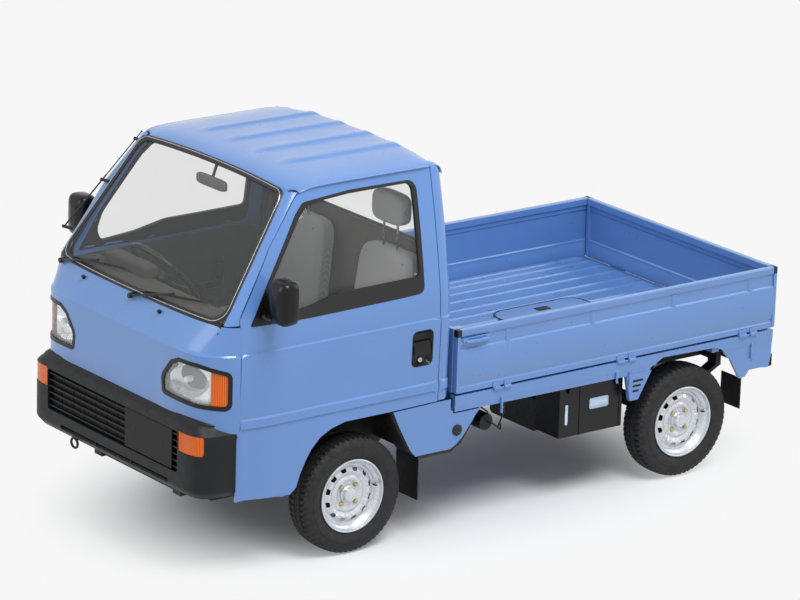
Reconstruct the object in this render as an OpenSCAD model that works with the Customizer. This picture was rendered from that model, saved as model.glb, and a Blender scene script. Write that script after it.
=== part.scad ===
// Cab-over kei truck with a three-way dropside bed, in millimetres.
// X points to the vehicle's left, Y to its rear and Z up. The origin is on the ground,
// on the centre line, halfway along the vehicle.

/* [Overall] */
// Length over the bumpers
body_l = 3255; // [3150:5:3400]
// Greatest width of the cab and of the gates
body_w = 1394; // [1300:2:1480]
// Height to the top of the roof ribs
body_h = 1745; // [1700:5:1850]
// Distance between the axles
wheelbase = 1900; // [1850:5:2000]
// Distance from the front bumper to the front axle
front_overhang = 834; // [820:2:850]

/* [Cab] */
// Length of the cab from its nose to its back panel
cab_l = 1309; // [1290:1:1360]
// Thickness of the cab's walls and doors
wall = 36; // [24:1:44]
// Height of the lower edge of the doors
skirt_z = 362; // [340:1:390]
// Height of the lower body crease
low_crease_z = 735; // [700:5:780]
// Height of the upper body crease
high_crease_z = 1022; // [980:2:1060]
// Height of the windscreen's lower edge
cowl_z = 1150; // [1120:2:1180]
// Height of the roof gutter above the doors
gutter_z = 1698; // [1660:1:1720]
// How far the gutter lies inside the widest point
tumblehome = 108; // [60:2:140]
// Gap round each door
door_gap = 5; // [5:0.5:8]
// Height of the footwell floor
floor_z = 400; // [390:1:410]
// Height of the platform that carries the seats
seat_base_z = 660; // [645:1:690]

/* [Glass] */
// Thickness of the window glass
glass_t = 5; // [3:0.5:8]
// Corner radius of the windscreen and the door windows
glass_r = 48; // [20:2:70]

/* [Bed] */
// Height of the bed's load surface
bed_z = 662; // [655:1:700]
// Height of the gates above the load surface
gate_h = 285; // [240:5:340]
// Thickness of the gates
gate_t = 28; // [22:1:34]
// Gap between the cab's back panel and the bed
bed_gap = 21; // [15:1:40]
// Number of raised ribs along the bed floor
bed_ribs = 12; // [8:1:14]

/* [Wheels] */
// Outer diameter of the tyres
tyre_d = 536; // [520:2:548]
// Width of the tyres
tyre_w = 145; // [125:1:150]
// Distance between the centres of the two wheels of an axle
track = 1200; // [1180:2:1206]
// Outer diameter of the rims' flanges
rim_d = 336; // [320:2:350]
// Diameter of the circle of wheel nuts
nut_pcd = 110; // [100:1:120]
// Number of slots in each wheel disc
rim_slots = 12; // [8:1:14]
// Distance of the steering pivots from the centre line
kingpin_x = 490; // [486:1:494]

/* [Hidden] */
$fn = 48;

blue = "#6f9bd8";
black = "#26272a";
grey = "#8d8c86";
steel = "#b9bdc3";
amber = "#f2801e";
big = 4000;                                 // larger than the vehicle, for cuts
slip = 0.3;                                 // clearance of a running or resting fit

// Stations along the vehicle
front_y = -body_l / 2;
rear_y = body_l / 2;
front_axle_y = front_y + front_overhang;
rear_axle_y = front_axle_y + wheelbase;
nose_y = front_y + 34;
back_y = nose_y + cab_l;
bed_front_y = back_y + bed_gap;
gate_rear_y = rear_y - 14;
half_w = body_w / 2;
axle_z = tyre_d / 2;

// Cab stations
door_front_y = nose_y + 174;
door_rear_y = back_y - 77;
cowl_y = nose_y + 74;
roof_z = body_h - 15;
header_z = roof_z - 58;
slope_run = 400;                            // run of the windscreen from cowl to header
header_y = cowl_y + slope_run;
slope_rise = header_z - cowl_z;
slope_l = sqrt(slope_run * slope_run + slope_rise * slope_rise);
slope_tilt = atan2(slope_rise, slope_run);
arch_top_z = 628;                           // top of the front wheel opening
arch_rear_y = front_axle_y + 188;           // where the arch meets the door's rear part
sill_z = 398;                               // lower edge of the sills behind the wheel
sill_end_y = back_y + 166;
bumper_top_z = 750;
bumper_bottom_z = 380;
gutter_x = half_w - tumblehome;

// Bed stations
gate_z = bed_z - 10;                        // lower edge of the gates
gate_top_z = bed_z + gate_h;
gate_in_x = half_w - gate_t;
floor_t = 22;
bearer_z = 580;                             // underside of the bed's cross bearers, top of the rails
skirt_x = half_w - 7;                       // outer face of the bed's side skirts
skirt_bottom_z = 566;
hinge_r = 6;
rail_x = 280;
rail_w = 60;

// ---- helpers ---------------------------------------------------------------------------------

// Points of an arc of radius r about [cx, cy], from angle a0 to a1
function arc(cx, cy, r, a0, a1, n = 6) =
    [for (i = [0:n]) [cx + r * cos(a0 + (a1 - a0) * i / n), cy + r * sin(a0 + (a1 - a0) * i / n)]];

// A polygon of [y, z] points, extruded along X
module prism_x(points, x0, x1)
    translate([x0, 0, 0]) rotate([90, 0, 90]) linear_extrude(x1 - x0) polygon(points);

// A polygon of [x, z] points, extruded along Y
module prism_y(points, y0, y1)
    translate([0, y1, 0]) rotate([90, 0, 0]) linear_extrude(y1 - y0) polygon(points);

module box(x0, x1, y0, y1, z0, z1) translate([x0, y0, z0]) cube([x1 - x0, y1 - y0, z1 - z0]);

module both_sides() {
    children();
    mirror([1, 0, 0]) children();
}

// A cylinder along X
module rod_x(r, x0, x1, y, z, fn = 48)
    translate([x0, y, z]) rotate([0, 90, 0]) cylinder(r = r, h = x1 - x0, $fn = fn);

// A cylinder along Y
module rod_y(r, y0, y1, x, z, fn = 32)
    translate([x, y1, z]) rotate([90, 0, 0]) cylinder(r = r, h = y1 - y0, $fn = fn);

// A cylinder of radius r from point p to point q
module rod(p, q, r) {
    v = q - p;
    translate(p) rotate([0, acos(v[2] / norm(v)), atan2(v[1], v[0])]) cylinder(r = r, h = norm(v));
}

// ---- the cab's outer form ----------------------------------------------------------------------

// The cab in side view, each face moved inwards by t
function cab_side(t) = concat(
    [[nose_y + 4 + t, 0], [nose_y + t, low_crease_z], [nose_y + t, high_crease_z],
     [cowl_y + t, cowl_z], [header_y + t * 1.2, header_z - t * 0.5],
     [header_y + 34 + t, header_z + 30 - t], [header_y + 120 + t, roof_z - 6 - t],
     [header_y + 210 + t, roof_z - t]],
    arc(back_y - 34 - t, roof_z - 42 - t, 34, 72, 0, 3),
    [[back_y - t, 0]]);

// Half of the cab in front view as [height, distance inside the widest point]
side_shape = [[skirt_z, 7], [low_crease_z - 20, 3], [low_crease_z + 20, 2], [950, 0],
    [high_crease_z + 60, 5], [cowl_z, 11], [1230, 21],
    [(1230 + gutter_z) / 2, 21 + (tumblehome - 21) * 0.47], [gutter_z - 10, tumblehome]];

function cab_half(t) = concat(
    [[half_w - side_shape[0][1] - t, 0]],
    [for (s = side_shape) [half_w - s[1] - t, s[0]]],
    arc(gutter_x - 52 - t, roof_z - 54 - t * 0.3, 46, 20, 72, 4),
    [[gutter_x - 170 - t, roof_z + 3 - t], [0, roof_z + 6 - t]]);

function mirrored(points) =
    concat(points, [for (i = [len(points) - 1:-1:0]) [-points[i][0], points[i][1]]]);

// The plan of the cab's nose with its rounded corners
function cab_plan(t) = let (r = 130) concat(
    [[half_w + 10, big], [half_w + 10 - t, door_front_y]],
    [[half_w - 7 - t, door_front_y - 5]],
    arc(half_w - 7 - r - t, nose_y + 16 + r + t, r, 0, -82, 6),
    [[half_w - 350, nose_y + 2 + t], [0, nose_y - 1 + t]]);

// The normal of the flat that trims the edge between windscreen and side
edge_foot = [half_w - 9, cowl_y, cowl_z];
edge_normal = [0.66, -0.5, 0.56];

module edge_trim(t) {
    n = edge_normal / norm(edge_normal);
    translate(edge_foot - n * (30 + t))
        rotate([0, acos(n[2]), atan2(n[1], n[0])])
            translate([-big / 2, -big / 2, 0]) cube([big, big, 300]);
}

module cab_solid(t) difference() {
    intersection() {
        prism_x(cab_side(t), -half_w - 20, half_w + 20);
        prism_y(mirrored(cab_half(t)), nose_y - 50, back_y + 50);
        union() {
            linear_extrude(cowl_z + 8) polygon(mirrored(cab_plan(t)));
            translate([0, 0, cowl_z - 60]) linear_extrude(big)
                polygon([[-half_w, cowl_y - 20], [half_w, cowl_y - 20], [half_w, big], [-half_w, big]]);
        }
    }
    both_sides() edge_trim(t);
}

module cab_shell() difference() {
    cab_solid(0);
    cab_solid(wall);
}

// ---- outlines in side view ---------------------------------------------------------------------

pillar_run = 356;                           // run of the door's front edge along the pillar
window_top_z = gutter_z - 58;
window_sill_z = cowl_z - 6;

// The door's outline, each edge moved outwards by g
function door_outline(g) = concat(
    [[door_front_y - g, skirt_z - 4 - g], [door_front_y - g, cowl_z + 34 + g * 0.4],
     [door_front_y + 48 - g, cowl_z + 102 + g * 0.4],
     [door_front_y + pillar_run - 60 - g, gutter_z - 92 + g * 0.4],
     [door_front_y + pillar_run - g, gutter_z - 28 + g],
     [door_front_y + pillar_run + 58 - g, gutter_z + g],
     [door_rear_y + g, gutter_z + g], [door_rear_y + g, arch_top_z + 11 - g],
     [arch_rear_y, arch_top_z + 7 - g]],
    [for (p = front_arch()) if (p[0] < arch_rear_y - 10) [p[0], p[1] - g]],
    [[front_axle_y - 360, skirt_z - 10 - g], [front_axle_y - 470, skirt_z - 8 - g]]);

// The edge of the front wheel opening, from the rear top to the front foot
function front_arch() = [[front_axle_y + 175, 630], [front_axle_y - 73, 630],
    [front_axle_y - 148, 615], [front_axle_y - 206, 583], [front_axle_y - 253, 536],
    [front_axle_y - 287, 480], [front_axle_y - 311, 420], [front_axle_y - 328, 376]];

// The door window's opening
function window_outline(g) = concat(
    [[door_front_y + 62 - g, window_sill_z - g],
     [door_front_y + pillar_run + 8 - g, window_top_z - 28]],
    arc(door_front_y + pillar_run + 44, window_top_z - glass_r, glass_r + g, 140, 90, 3),
    arc(door_rear_y - 84 - glass_r, window_top_z - glass_r, glass_r + g, 90, 0, 5),
    [[door_rear_y - 84 + g, window_sill_z - g]]);

// The windscreen's opening, as [x, distance up the slope]
function screen_outline(g) = mirrored(concat(
    [[0, 6 - g]],
    arc(half_w - 74 - glass_r, 12 + glass_r, glass_r + g, -90, -12, 4),
    arc(gutter_x - 44 - glass_r, slope_l - 26 - glass_r, glass_r + g, -12, 90, 5)));

module screen_prism(g, depth = 150) translate([0, cowl_y, cowl_z]) rotate([slope_tilt, 0, 0])
    translate([0, 0, -depth]) linear_extrude(2 * depth) polygon(screen_outline(g));

// The rear window's opening
rear_window_sill_z = 1296;
function rear_window_outline() = mirrored(concat(
    [[0, rear_window_sill_z]],
    arc(490 - 40, rear_window_sill_z + 40, 40, -90, 0, 4),
    arc(452 - 40, 1612 - 40, 40, 10, 90, 4)));

module door_windows(g) prism_x(window_outline(g), -big, big);

// The doorways, cut through the cab's sides only
doorway_x = 500;
module doorways() both_sides() prism_x(door_outline(door_gap), doorway_x, big);

// ---- cab pieces --------------------------------------------------------------------------------

module front_panel() color(blue) difference() {
    intersection() {
        cab_shell();
        box(-big, big, nose_y - 100, door_front_y - door_gap, bumper_top_z, cowl_z - 12);
    }
    both_sides() headlight_space();
}

module windscreen_frame() color(blue) difference() {
    intersection() {
        cab_shell();
        box(-big, big, nose_y - 100, header_y + 60, cowl_z - 12, big);
    }
    doorways();
    screen_prism(0);
}

module roof_panel() color(blue) {
    difference() {
        intersection() {
            cab_shell();
            box(-big, big, header_y + 60, big, gutter_z - 60, big);
        }
        doorways();
        box(-big, big, door_rear_y, big, 0, gutter_z + door_gap);
    }
    for (x = [-309, -104, 104, 309])
        box(x - 12, x + 12, header_y + 190, back_y - 40, roof_z - 2, body_h);
}

module cab_back_panel() color(blue) difference() {
    intersection() {
        cab_shell();
        box(-big, big, door_rear_y + door_gap, big, arch_top_z, gutter_z + door_gap);
    }
    prism_y(rear_window_outline(), back_y - 100, back_y + 100);
}

// The quarter panels below the B pillars, from the wheel opening to the bed's skirts
module side_sills() color(blue) both_sides()
    prism_x([[arch_rear_y + 14, arch_top_z], [arch_rear_y + 30, 565], [arch_rear_y + 71, 488],
             [arch_rear_y + 100, 436], [arch_rear_y + 128, sill_z], [back_y, sill_z],
             [back_y + 70, 443], [back_y + 113, 497], [sill_end_y, skirt_bottom_z],
             [sill_end_y, bearer_z], [back_y, bearer_z], [back_y, arch_top_z]],
            half_w - 6 - wall, half_w - 6);

module windscreen() color("#9db4b4", 0.4) intersection() {
    difference() {
        cab_solid(9);
        cab_solid(9 + glass_t);
    }
    screen_prism(0, 30);
}

module rear_window() color("#9db4b4", 0.4)
    prism_y(rear_window_outline(), back_y - wall / 2, back_y - wall / 2 + glass_t);

wheelhouse_x = rail_x + rail_w + 6;         // inner wall of the front wheel houses
wheelhouse_y = front_axle_y + 336;          // rear wall of the front wheel houses
module cab_floor() color(grey) difference() {
    union() {
        box(-640, 640, nose_y + 60, front_axle_y - 340, floor_z - 20, floor_z);
        box(-640, 640, nose_y + 60, nose_y + 80, floor_z, 740);
        box(-640, 640, front_axle_y - 360, front_axle_y - 340, floor_z, seat_base_z);
        box(-640, 640, front_axle_y - 340, back_y - wall, seat_base_z - 20, seat_base_z);
        box(-440, 440, front_axle_y - 340, front_axle_y - 322, floor_z - 20, seat_base_z - 20);
        box(-640, 640, back_y - wall - 18, back_y - wall, 440, seat_base_z - 20);
        both_sides() {
            box(wheelhouse_x, wheelhouse_x + 8, front_axle_y - 340, wheelhouse_y + 8, floor_z, seat_base_z - 20);
            box(wheelhouse_x, 640, wheelhouse_y, wheelhouse_y + 8, floor_z, seat_base_z - 20);
        }
    }
    both_sides() box(rail_x - slip, rail_x + rail_w + slip, -big, big, 0, bearer_z + slip);
}

// ---- front end -----------------------------------------------------------------------------------

bumper_x = half_w;
module bumper_form(t) intersection() {
    linear_extrude(big) polygon(mirrored(concat(
        [[bumper_x - t, big], [bumper_x - t, door_front_y - 20]],
        arc(bumper_x - 90 - t, front_y + 34 + 90 + t, 90, 0, -70, 6),
        [[bumper_x - 190, front_y + 9 + t], [0, front_y + t]])));
    prism_x([[front_y + 14 + t, bumper_bottom_z], [front_y + t, bumper_bottom_z + 50],
             [front_y + t, 690], [nose_y - 6 + t, bumper_top_z - 12], [nose_y + 4 + t, bumper_top_z],
             [door_front_y - 20, bumper_top_z - 36], [door_front_y - 20, bumper_bottom_z]], -big, big);
}

grille_half = 508;                          // half-width of the bumper's grille opening
grille_z0 = 488;
grille_z1 = 676;
indicator_x1 = 655;                         // outer end of the front indicators

module front_bumper() color(black) difference() {
    bumper_form(0);
    difference() {
        bumper_form(32);
        box(-big, big, -big, big, 0, bumper_bottom_z + 0.1);
    }
    box(-half_w + 32, half_w - 32, front_y + 60, big, 0, big);
    box(-grille_half, grille_half, -big, big, grille_z0, grille_z1);
    both_sides() box(grille_half - 1, indicator_x1, -big, front_y + 92, 594, grille_z1);
    box(-400, 440, -big, front_y + 20, 420, 440);
}

module front_grille() color(black) {
    for (z = [grille_z0 + 26:34:grille_z1 - 20])
        box(-grille_half, grille_half, front_y + 14, front_y + 34, z, z + 7);
    for (x = [-500, -380, -200, -20, 482])
        box(x, x + 12, front_y + 14, front_y + 34, grille_z0, grille_z1);
    difference() {
        box(105, 470, front_y + 2, front_y + 14, grille_z0 + 4, grille_z1 - 4);
        for (x = [287 - 105, 287 + 105]) rod_y(3.5, front_y, front_y + 20, x, 590);
    }
}

module headlight_space() intersection() {
    cab_solid(-1);
    prism_y([[336, 812], [346, 880], [384, 934], [446, 962], [600, 962], [664, 956], [672, 940],
             [672, 806], [660, 796], [366, 796]], nose_y - 50, nose_y + 120);
}

module headlights() color("white") both_sides() intersection() {
    difference() {
        cab_solid(0);
        cab_solid(wall);
    }
    headlight_space();
}

module front_indicators() color(amber) both_sides() intersection() {
    difference() {
        bumper_form(1);
        bumper_form(30);
    }
    box(grille_half, indicator_x1, -big, front_y + 92, 596, grille_z1 - 1);
}

wiper_foot_z = 1130;
module wipers() color(black) for (x = [-575, 9]) {
    foot_y = nose_y + (cowl_y - nose_y) * (wiper_foot_z - high_crease_z) / (cowl_z - high_crease_z);
    slant = atan2(cowl_z - high_crease_z, cowl_y - nose_y);
    head = [x, foot_y - 18 * sin(slant), wiper_foot_z + 18 * cos(slant)];
    blade = [x + 60, cowl_y + 12, cowl_z + 31];
    translate([x, foot_y, wiper_foot_z]) rotate([slant, 0, 0]) cylinder(r = 14, h = 26);
    rod(head, blade + [240, 0, 0], 6);
    rod(blade, blade + [400, 0, 0], 7);
}

module antenna() color(steel) difference() {
    foot = [-640, door_front_y - 32, cowl_z + 116];
    tip = [-577, header_y + 36, header_z - 3];
    clip = foot + (tip - foot) * 0.76;
    union() {
        rod(foot, tip, 4);
        rod(foot - [0, 10, 12], foot + [0, 40, 44], 9);
        rod(foot - [6, 0, 0], foot + [20, 60, -30], 9);
        rod(clip, clip + [10, 60, -30], 5);
    }
    cab_solid(0);
}

// ---- cab interior --------------------------------------------------------------------------------

dash_x = 636;
dash_rear_y = nose_y + 350;
wheel_tilt = 48;                            // steering wheel's plane, from the horizontal
steer = [-335, nose_y + 470, 1085];         // centre of the steering wheel

// The dashboard, with the steering column that comes out of it
module dashboard() color("#5b5a55") {
    difference() {
        intersection() {
            prism_x([[nose_y, 800], [nose_y, 1126], [dash_rear_y - 80, 1126], [dash_rear_y, 1080],
                     [dash_rear_y - 12, 960], [dash_rear_y - 60, 820], [dash_rear_y - 80, 800]],
                    -dash_x, dash_x);
            cab_solid(wall);
        }
        box(80, 600, dash_rear_y - 70, dash_rear_y + 10, 900, 985);
    }
    translate(steer) rotate([-wheel_tilt, 0, 0]) translate([0, 0, -185]) cylinder(r = 26, h = 140);
}

module steering_wheel() color(black)
    translate(steer) rotate([-wheel_tilt, 0, 0]) {
        rotate_extrude($fn = 64) translate([184, 0]) circle(r = 13, $fn = 24);
        translate([0, 0, -30]) cylinder(r = 52, h = 34);
        translate([0, 0, -44.7]) cylinder(r = 20, h = 16);
        for (a = [30, 150, 270]) rotate([0, 0, a]) translate([40, -15, -20]) cube([140, 30, 14]);
    }

seat_x = 335;
seat_back_y = back_y - wall - 60;
seat_top_z = 1268;
module seat_cushions() color("#9b9a96") both_sides()
    box(seat_x - 235, seat_x + 235, seat_back_y - 520, seat_back_y - 60, seat_base_z, seat_base_z + 140);

module seat_backs() color("#9b9a96") both_sides()
    prism_x([[seat_back_y - 90, seat_base_z + 140], [seat_back_y - 60, 1240], [seat_back_y - 30, seat_top_z],
             [seat_back_y + 20, seat_top_z], [seat_back_y + 36, 1230], [seat_back_y + 16, seat_base_z + 140]],
            seat_x - 230, seat_x + 230);

module headrests() color("#9b9a96") both_sides() {
    box(seat_x - 120, seat_x + 120, seat_back_y - 40, seat_back_y + 50, 1370, 1520);
    for (x = [-62, 62]) translate([seat_x + x, seat_back_y + 2, seat_top_z]) cylinder(r = 6, h = 104);
}

module interior_mirror() color(black) {
    box(-112, 112, header_y - 4, header_y + 20, 1560, 1610);
    box(-7, 7, header_y + 19, header_y + 60, 1590, 1604);
    intersection() {
        translate([0, header_y + 60, 1590]) cylinder(r = 7, h = 200);
        cab_solid(wall);
    }
}

// ---- doors ---------------------------------------------------------------------------------------

// The plan of the left door: its rear end leans inwards so that it swings clear of the pillar
module door_plan() linear_extrude(big)
    polygon([[half_w + 30, -big], [half_w + 30, door_rear_y], [half_w, door_rear_y],
             [half_w - 250, door_rear_y - 12], [0, door_rear_y - 12], [0, -big]]);

module left_door() color(blue) difference() {
    intersection() {
        cab_shell();
        prism_x(door_outline(0), doorway_x, big);
        door_plan();
        box(0, big, door_front_y, big, 0, big);
    }
    door_windows(0);
}

module left_door_glass() color("#9db4b4", 0.4) intersection() {
    difference() {
        cab_solid(12);
        cab_solid(12 + glass_t);
    }
    prism_x(window_outline(0), 0, big);
}

mirror_y = door_front_y + 150;              // centre of the door mirror's head
// The strip under the door's window, with the mirror and the handle
module left_door_trim() color(black) {
    difference() {
        intersection() {
            cab_solid(-5);
            prism_x([[door_front_y, window_sill_z], [door_front_y + 120, window_sill_z + 160],
                     [door_front_y + 170, window_sill_z + 36], [door_front_y + 360, window_sill_z + 34],
                     [door_front_y + 520, window_sill_z + 76], [door_rear_y, window_sill_z + 74],
                     [door_rear_y, window_sill_z]], 0, big);
            prism_x(window_outline(0), 0, big);
        }
        cab_solid(11.7);
    }
    prism_x([[mirror_y - 45, 1166], [mirror_y - 45, 1340], [mirror_y - 25, 1372],
             [mirror_y + 10, 1372], [mirror_y + 22, 1350], [mirror_y + 22, 1162]],
            half_w + 20, half_w + 150);
    rod([half_w - 22, mirror_y, 1177], [half_w + 21, mirror_y, 1177], 9);
    intersection() {
        cab_solid(-4);
        box(half_w, big, door_rear_y - 148, door_rear_y - 42, 822, 978);
    }
    box(half_w + 1, half_w + 12, door_rear_y - 146, door_rear_y - 44, 870, 896);
}

// ---- bed -------------------------------------------------------------------------------------------

module bed_floor() color(blue) {
    box(-gate_in_x + 8, gate_in_x - 8, bed_front_y + 24, gate_rear_y - gate_t - 8, bed_z - floor_t, bed_z - 6);
    pitch = (2 * gate_in_x - 60) / bed_ribs;
    for (i = [0:bed_ribs - 1]) {
        x = -gate_in_x + 30 + pitch * (i + 0.5);
        box(x - pitch * 0.36, x + pitch * 0.36, bed_front_y + 50, gate_rear_y - gate_t - 40, bed_z - 6.01, bed_z);
    }
}

bed_l = gate_rear_y - bed_front_y;
tailgate_l = 2 * (gate_in_x - 5);
side_hinges = [0.14, 0.52, 0.91];           // shares of the side gates' length
tail_hinges = [0.1, 0.47, 0.84];            // shares of the tailgate's length
bearers = [0.02, 0.19, 0.40, 0.62, 0.82];
module bed_frame() color(blue) {
    for (s = bearers) {
        y = bed_front_y + s * bed_l;
        box(-skirt_x + 17, skirt_x - 17, y - 20, y + 20, bearer_z, bed_z - floor_t);
    }
    box(-skirt_x + 17, skirt_x - 17, gate_rear_y - 48, gate_rear_y - 8, bearer_z, bed_z - floor_t);
    for (s = tail_hinges) {
        x = tailgate_l / 2 - s * tailgate_l;
        box(x + 10, x + 52, gate_rear_y - 9, gate_rear_y + hinge_r + 2, gate_z - 8 - hinge_r, gate_z - 3);
        rod_x(3, x - 52, x + 52, gate_rear_y + 2, gate_z - 4 - hinge_r);
    }
    both_sides() {
        prism_x([[bed_front_y + 2, bearer_z + 0.5], [sill_end_y + 0.5, bearer_z + 0.5],
            [sill_end_y + 0.5, skirt_bottom_z],
                 [rear_axle_y - 380, 562], [rear_axle_y - 355, 440], [rear_axle_y - 307, 440],
                 [rear_axle_y - 234, 582], [rear_axle_y - 165, 617], [rear_axle_y + 150, 613],
                 [rear_axle_y + 194, 596], [rear_axle_y + 253, 532], [rear_axle_y + 312, 432],
                 [rear_axle_y + 334, 432], [rear_axle_y + 343, skirt_bottom_z],
                 [rear_axle_y + 420, skirt_bottom_z], [rear_axle_y + 449, 462],
                 [rear_axle_y + 487, 458], [gate_rear_y - 8, bearer_z], [gate_rear_y - 8, bed_z - floor_t],
                 [bed_front_y + 2, bed_z - floor_t]], skirt_x - 18, skirt_x);
        for (s = side_hinges) {
            y = bed_front_y + s * bed_l;
            box(half_w - 9, half_w + hinge_r + 2, y - 52, y - 10, gate_z - 8 - hinge_r, gate_z - 3);
            rod_y(3, y - 52, y + 52, half_w + 2, gate_z - 4 - hinge_r);
        }
        for (y = [rear_axle_y - 1107, rear_axle_y - 363, rear_axle_y + 373]) {
            translate([skirt_x + 6, y, bearer_z - 60]) cylinder(r = 6, h = 54);
            box(skirt_x - 1, skirt_x + 6, y - 6, y + 6, bearer_z - 16, bearer_z - 4);
        }
    }
}

module bed_front_board() color(blue) {
    box(-gate_in_x + 5, gate_in_x - 5, bed_front_y, bed_front_y + 24, bed_z - floor_t, gate_top_z);
    both_sides() box(gate_in_x - 40, gate_in_x - 5, bed_front_y + 24, bed_front_y + 60, bed_z, gate_top_z);
}

// The gate's section as [distance inside its outer face, height above its lower edge]
gate_section = [[3, 0], [3, 26], [8, 30], [8, 40], [3, 46], [3, 62], [0, 68], [0, 196], [7, 202],
    [7, 258], [0, 264], [0, 295], [28, 295], [28, 262], [20, 256], [20, 80], [24, 60], [24, 0]];
gate_scale = (gate_top_z - gate_z) / 295;

module gate_bar(l) rotate([90, 0, 0]) linear_extrude(l)
    polygon([for (p = gate_section) [-min(p[0], p[0] > 14 ? p[0] - 28 + gate_t : p[0]), p[1] * gate_scale]]);

module gate_hinge_lugs(l, side) for (s = side) {
    y = s * l;
    difference() {
        union() {
            translate([2, y - 2, -4 - hinge_r]) rotate([-90, 0, 0]) cylinder(r = hinge_r, h = 44, $fn = 32);
            translate([-8, y - 2, -4 - hinge_r]) cube([10, 44, hinge_r + 4.1]);
        }
        translate([2, y - 3, -4 - hinge_r]) rotate([-90, 0, 0]) cylinder(r = 3 + slip, h = 46, $fn = 32);
    }
}

module left_gate() color(blue) translate([half_w, 0, gate_z]) {
    translate([0, gate_rear_y, 0]) gate_bar(bed_l);
    for (s = [0.16, 0.415, 0.67, 0.915])
        translate([-7.1, bed_front_y + s * bed_l - 5, 202 * gate_scale]) cube([7, 10, 56 * gate_scale]);
    translate([0, bed_front_y, 0]) gate_hinge_lugs(bed_l, side_hinges);
    translate([-7.1, bed_front_y + 12, 212 * gate_scale]) cube([15, 150, 30]);
}

module tailgate() color(blue) translate([-tailgate_l / 2, gate_rear_y, gate_z]) rotate([0, 0, 90]) {
    gate_bar(tailgate_l);
    translate([0, -tailgate_l, 0]) gate_hinge_lugs(tailgate_l, tail_hinges);
}

module battery_box() color(black) {
    box(462, 640, rear_axle_y - 722, rear_axle_y - 352, 306, 553);
    box(480, 620, rear_axle_y - 632, rear_axle_y - 612, 552, bearer_z);
}

module fuel_tank() color(black)
    prism_y([[110, 300], [125, 285], [440, 285], [455, 300], [455, 440], [110, 440]],
            rear_axle_y - 707, rear_axle_y - spring_half - 50);

module engine_block() color("#55585c") {
    box(-250, 90, rear_axle_y - 560, rear_axle_y - 190, 250, 560);
    box(-rail_x, rail_x, rear_axle_y - 400, rear_axle_y - 360, 450, 480);
}

module exhaust() color("#77797c") {
    rod_x(70, -230, 170, rear_axle_y + 300, 350);
    rod_y(18, rear_axle_y + 300, rear_axle_y + 490, -160, 340);
    box(-40, -20, rear_axle_y + 290, rear_axle_y + 310, 400, 460);
}

hub_x = track / 2 - 12;                     // inner face of the wheels' hubs
spring_x = 396;
spring_half = 400;                          // half the length of the leaf springs

// The edge of a leaf spring h above the axle, bowed upwards at both ends
function leaf(i0, i1, h) =
    [for (i = [i0:sign(i1 - i0):i1]) [rear_axle_y + spring_half * i / 4, axle_z + h + 120 * pow(i / 4, 2)]];

module rear_axle() color(black) {
    rod_x(34, -530, 530, rear_axle_y, axle_z);
    both_sides() {
        hub_and_drum(500, rear_axle_y);
        prism_x(concat(leaf(-4, 4, 34), leaf(4, -4, 54)), spring_x, spring_x + 60);
        box(spring_x + 4, spring_x + 56, rear_axle_y - 45, rear_axle_y + 45, axle_z + 5, axle_z + 44);
        for (y = [rear_axle_y - spring_half, rear_axle_y + spring_half - 30]) {
            box(rail_x + rail_w, spring_x + 1, y, y + 30, axle_z + 175, bearer_z - 60);
            box(spring_x, spring_x + 60, y, y + 30, axle_z + 150, bearer_z - 60);
        }
    }
}

module chassis_frame() color(black) {
    both_sides() prism_x([[front_y + 140, 300], [front_axle_y + 320, 300], [back_y - 40, 440],
        [gate_rear_y - 60, 440], [gate_rear_y - 60, bearer_z], [back_y - 90, bearer_z],
        [front_axle_y + 300, floor_z - 20], [front_y + 140, floor_z - 20]], rail_x, rail_x + rail_w);
    for (y = [front_y + 150, front_axle_y - 250, front_axle_y + 250])
        box(-rail_x - 1, rail_x + 1, y, y + 60, 310, 370);
    for (y = [back_y, back_y + 300, rear_axle_y - 160, rear_axle_y + 280, gate_rear_y - 130])
        box(-rail_x - 1, rail_x + 1, y, y + 50, 460, 560);
}

// ---- running gear -------------------------------------------------------------------------------

module front_suspension() color(black) both_sides() {
    box(rail_x + rail_w, kingpin_x - 28, front_axle_y - 22, front_axle_y + 22, 176, 196);
    box(rail_x + 6, rail_x + rail_w, front_axle_y - 22, front_axle_y + 22, 176, 300);
    translate([kingpin_x, front_axle_y, 176]) cylinder(r = 28.01, h = 18);
    translate([kingpin_x, front_axle_y, 520 + slip]) cylinder(r = 12, h = seat_base_z - 20 - 520 - slip);
}

// A brake drum at an axle's end, from x0 outwards, with the spindle that carries the wheel
module hub_and_drum(x0, y) {
    rod_x(30, x0, hub_x - 20, y, axle_z);
    rod_x(100, hub_x - 52, hub_x - 6, y, axle_z);
    rod_x(18, hub_x - 20, hub_x - slip, y, axle_z);
}

module left_knuckle() color(steel) {
    translate([kingpin_x, front_axle_y, 194 + slip]) cylinder(r = 24, h = 326 - slip);
    hub_and_drum(kingpin_x, front_axle_y);
}

disc_x = 24;                                // wheel disc's distance outside the wheel's centre
module tyre() color(black) rotate([0, 90, 0]) rotate_extrude($fn = 96) polygon([
    [rim_d / 2 - 8 + slip, -52], [rim_d / 2 + 1, -53], [rim_d / 2 + 14, -tyre_w / 2 + 6],
    [rim_d / 2 + 42, -tyre_w / 2], [tyre_d / 2 - 32, -tyre_w / 2 + 4], [tyre_d / 2 - 10, -tyre_w / 2 + 13],
    [tyre_d / 2 - 2, -tyre_w / 2 + 26], [tyre_d / 2, -30], [tyre_d / 2, 30],
    [tyre_d / 2 - 2, tyre_w / 2 - 26], [tyre_d / 2 - 10, tyre_w / 2 - 13], [tyre_d / 2 - 32, tyre_w / 2 - 4],
    [rim_d / 2 + 42, tyre_w / 2], [rim_d / 2 + 14, tyre_w / 2 - 6], [rim_d / 2 + 1, 53],
    [rim_d / 2 - 8 + slip, 52]]);

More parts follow.
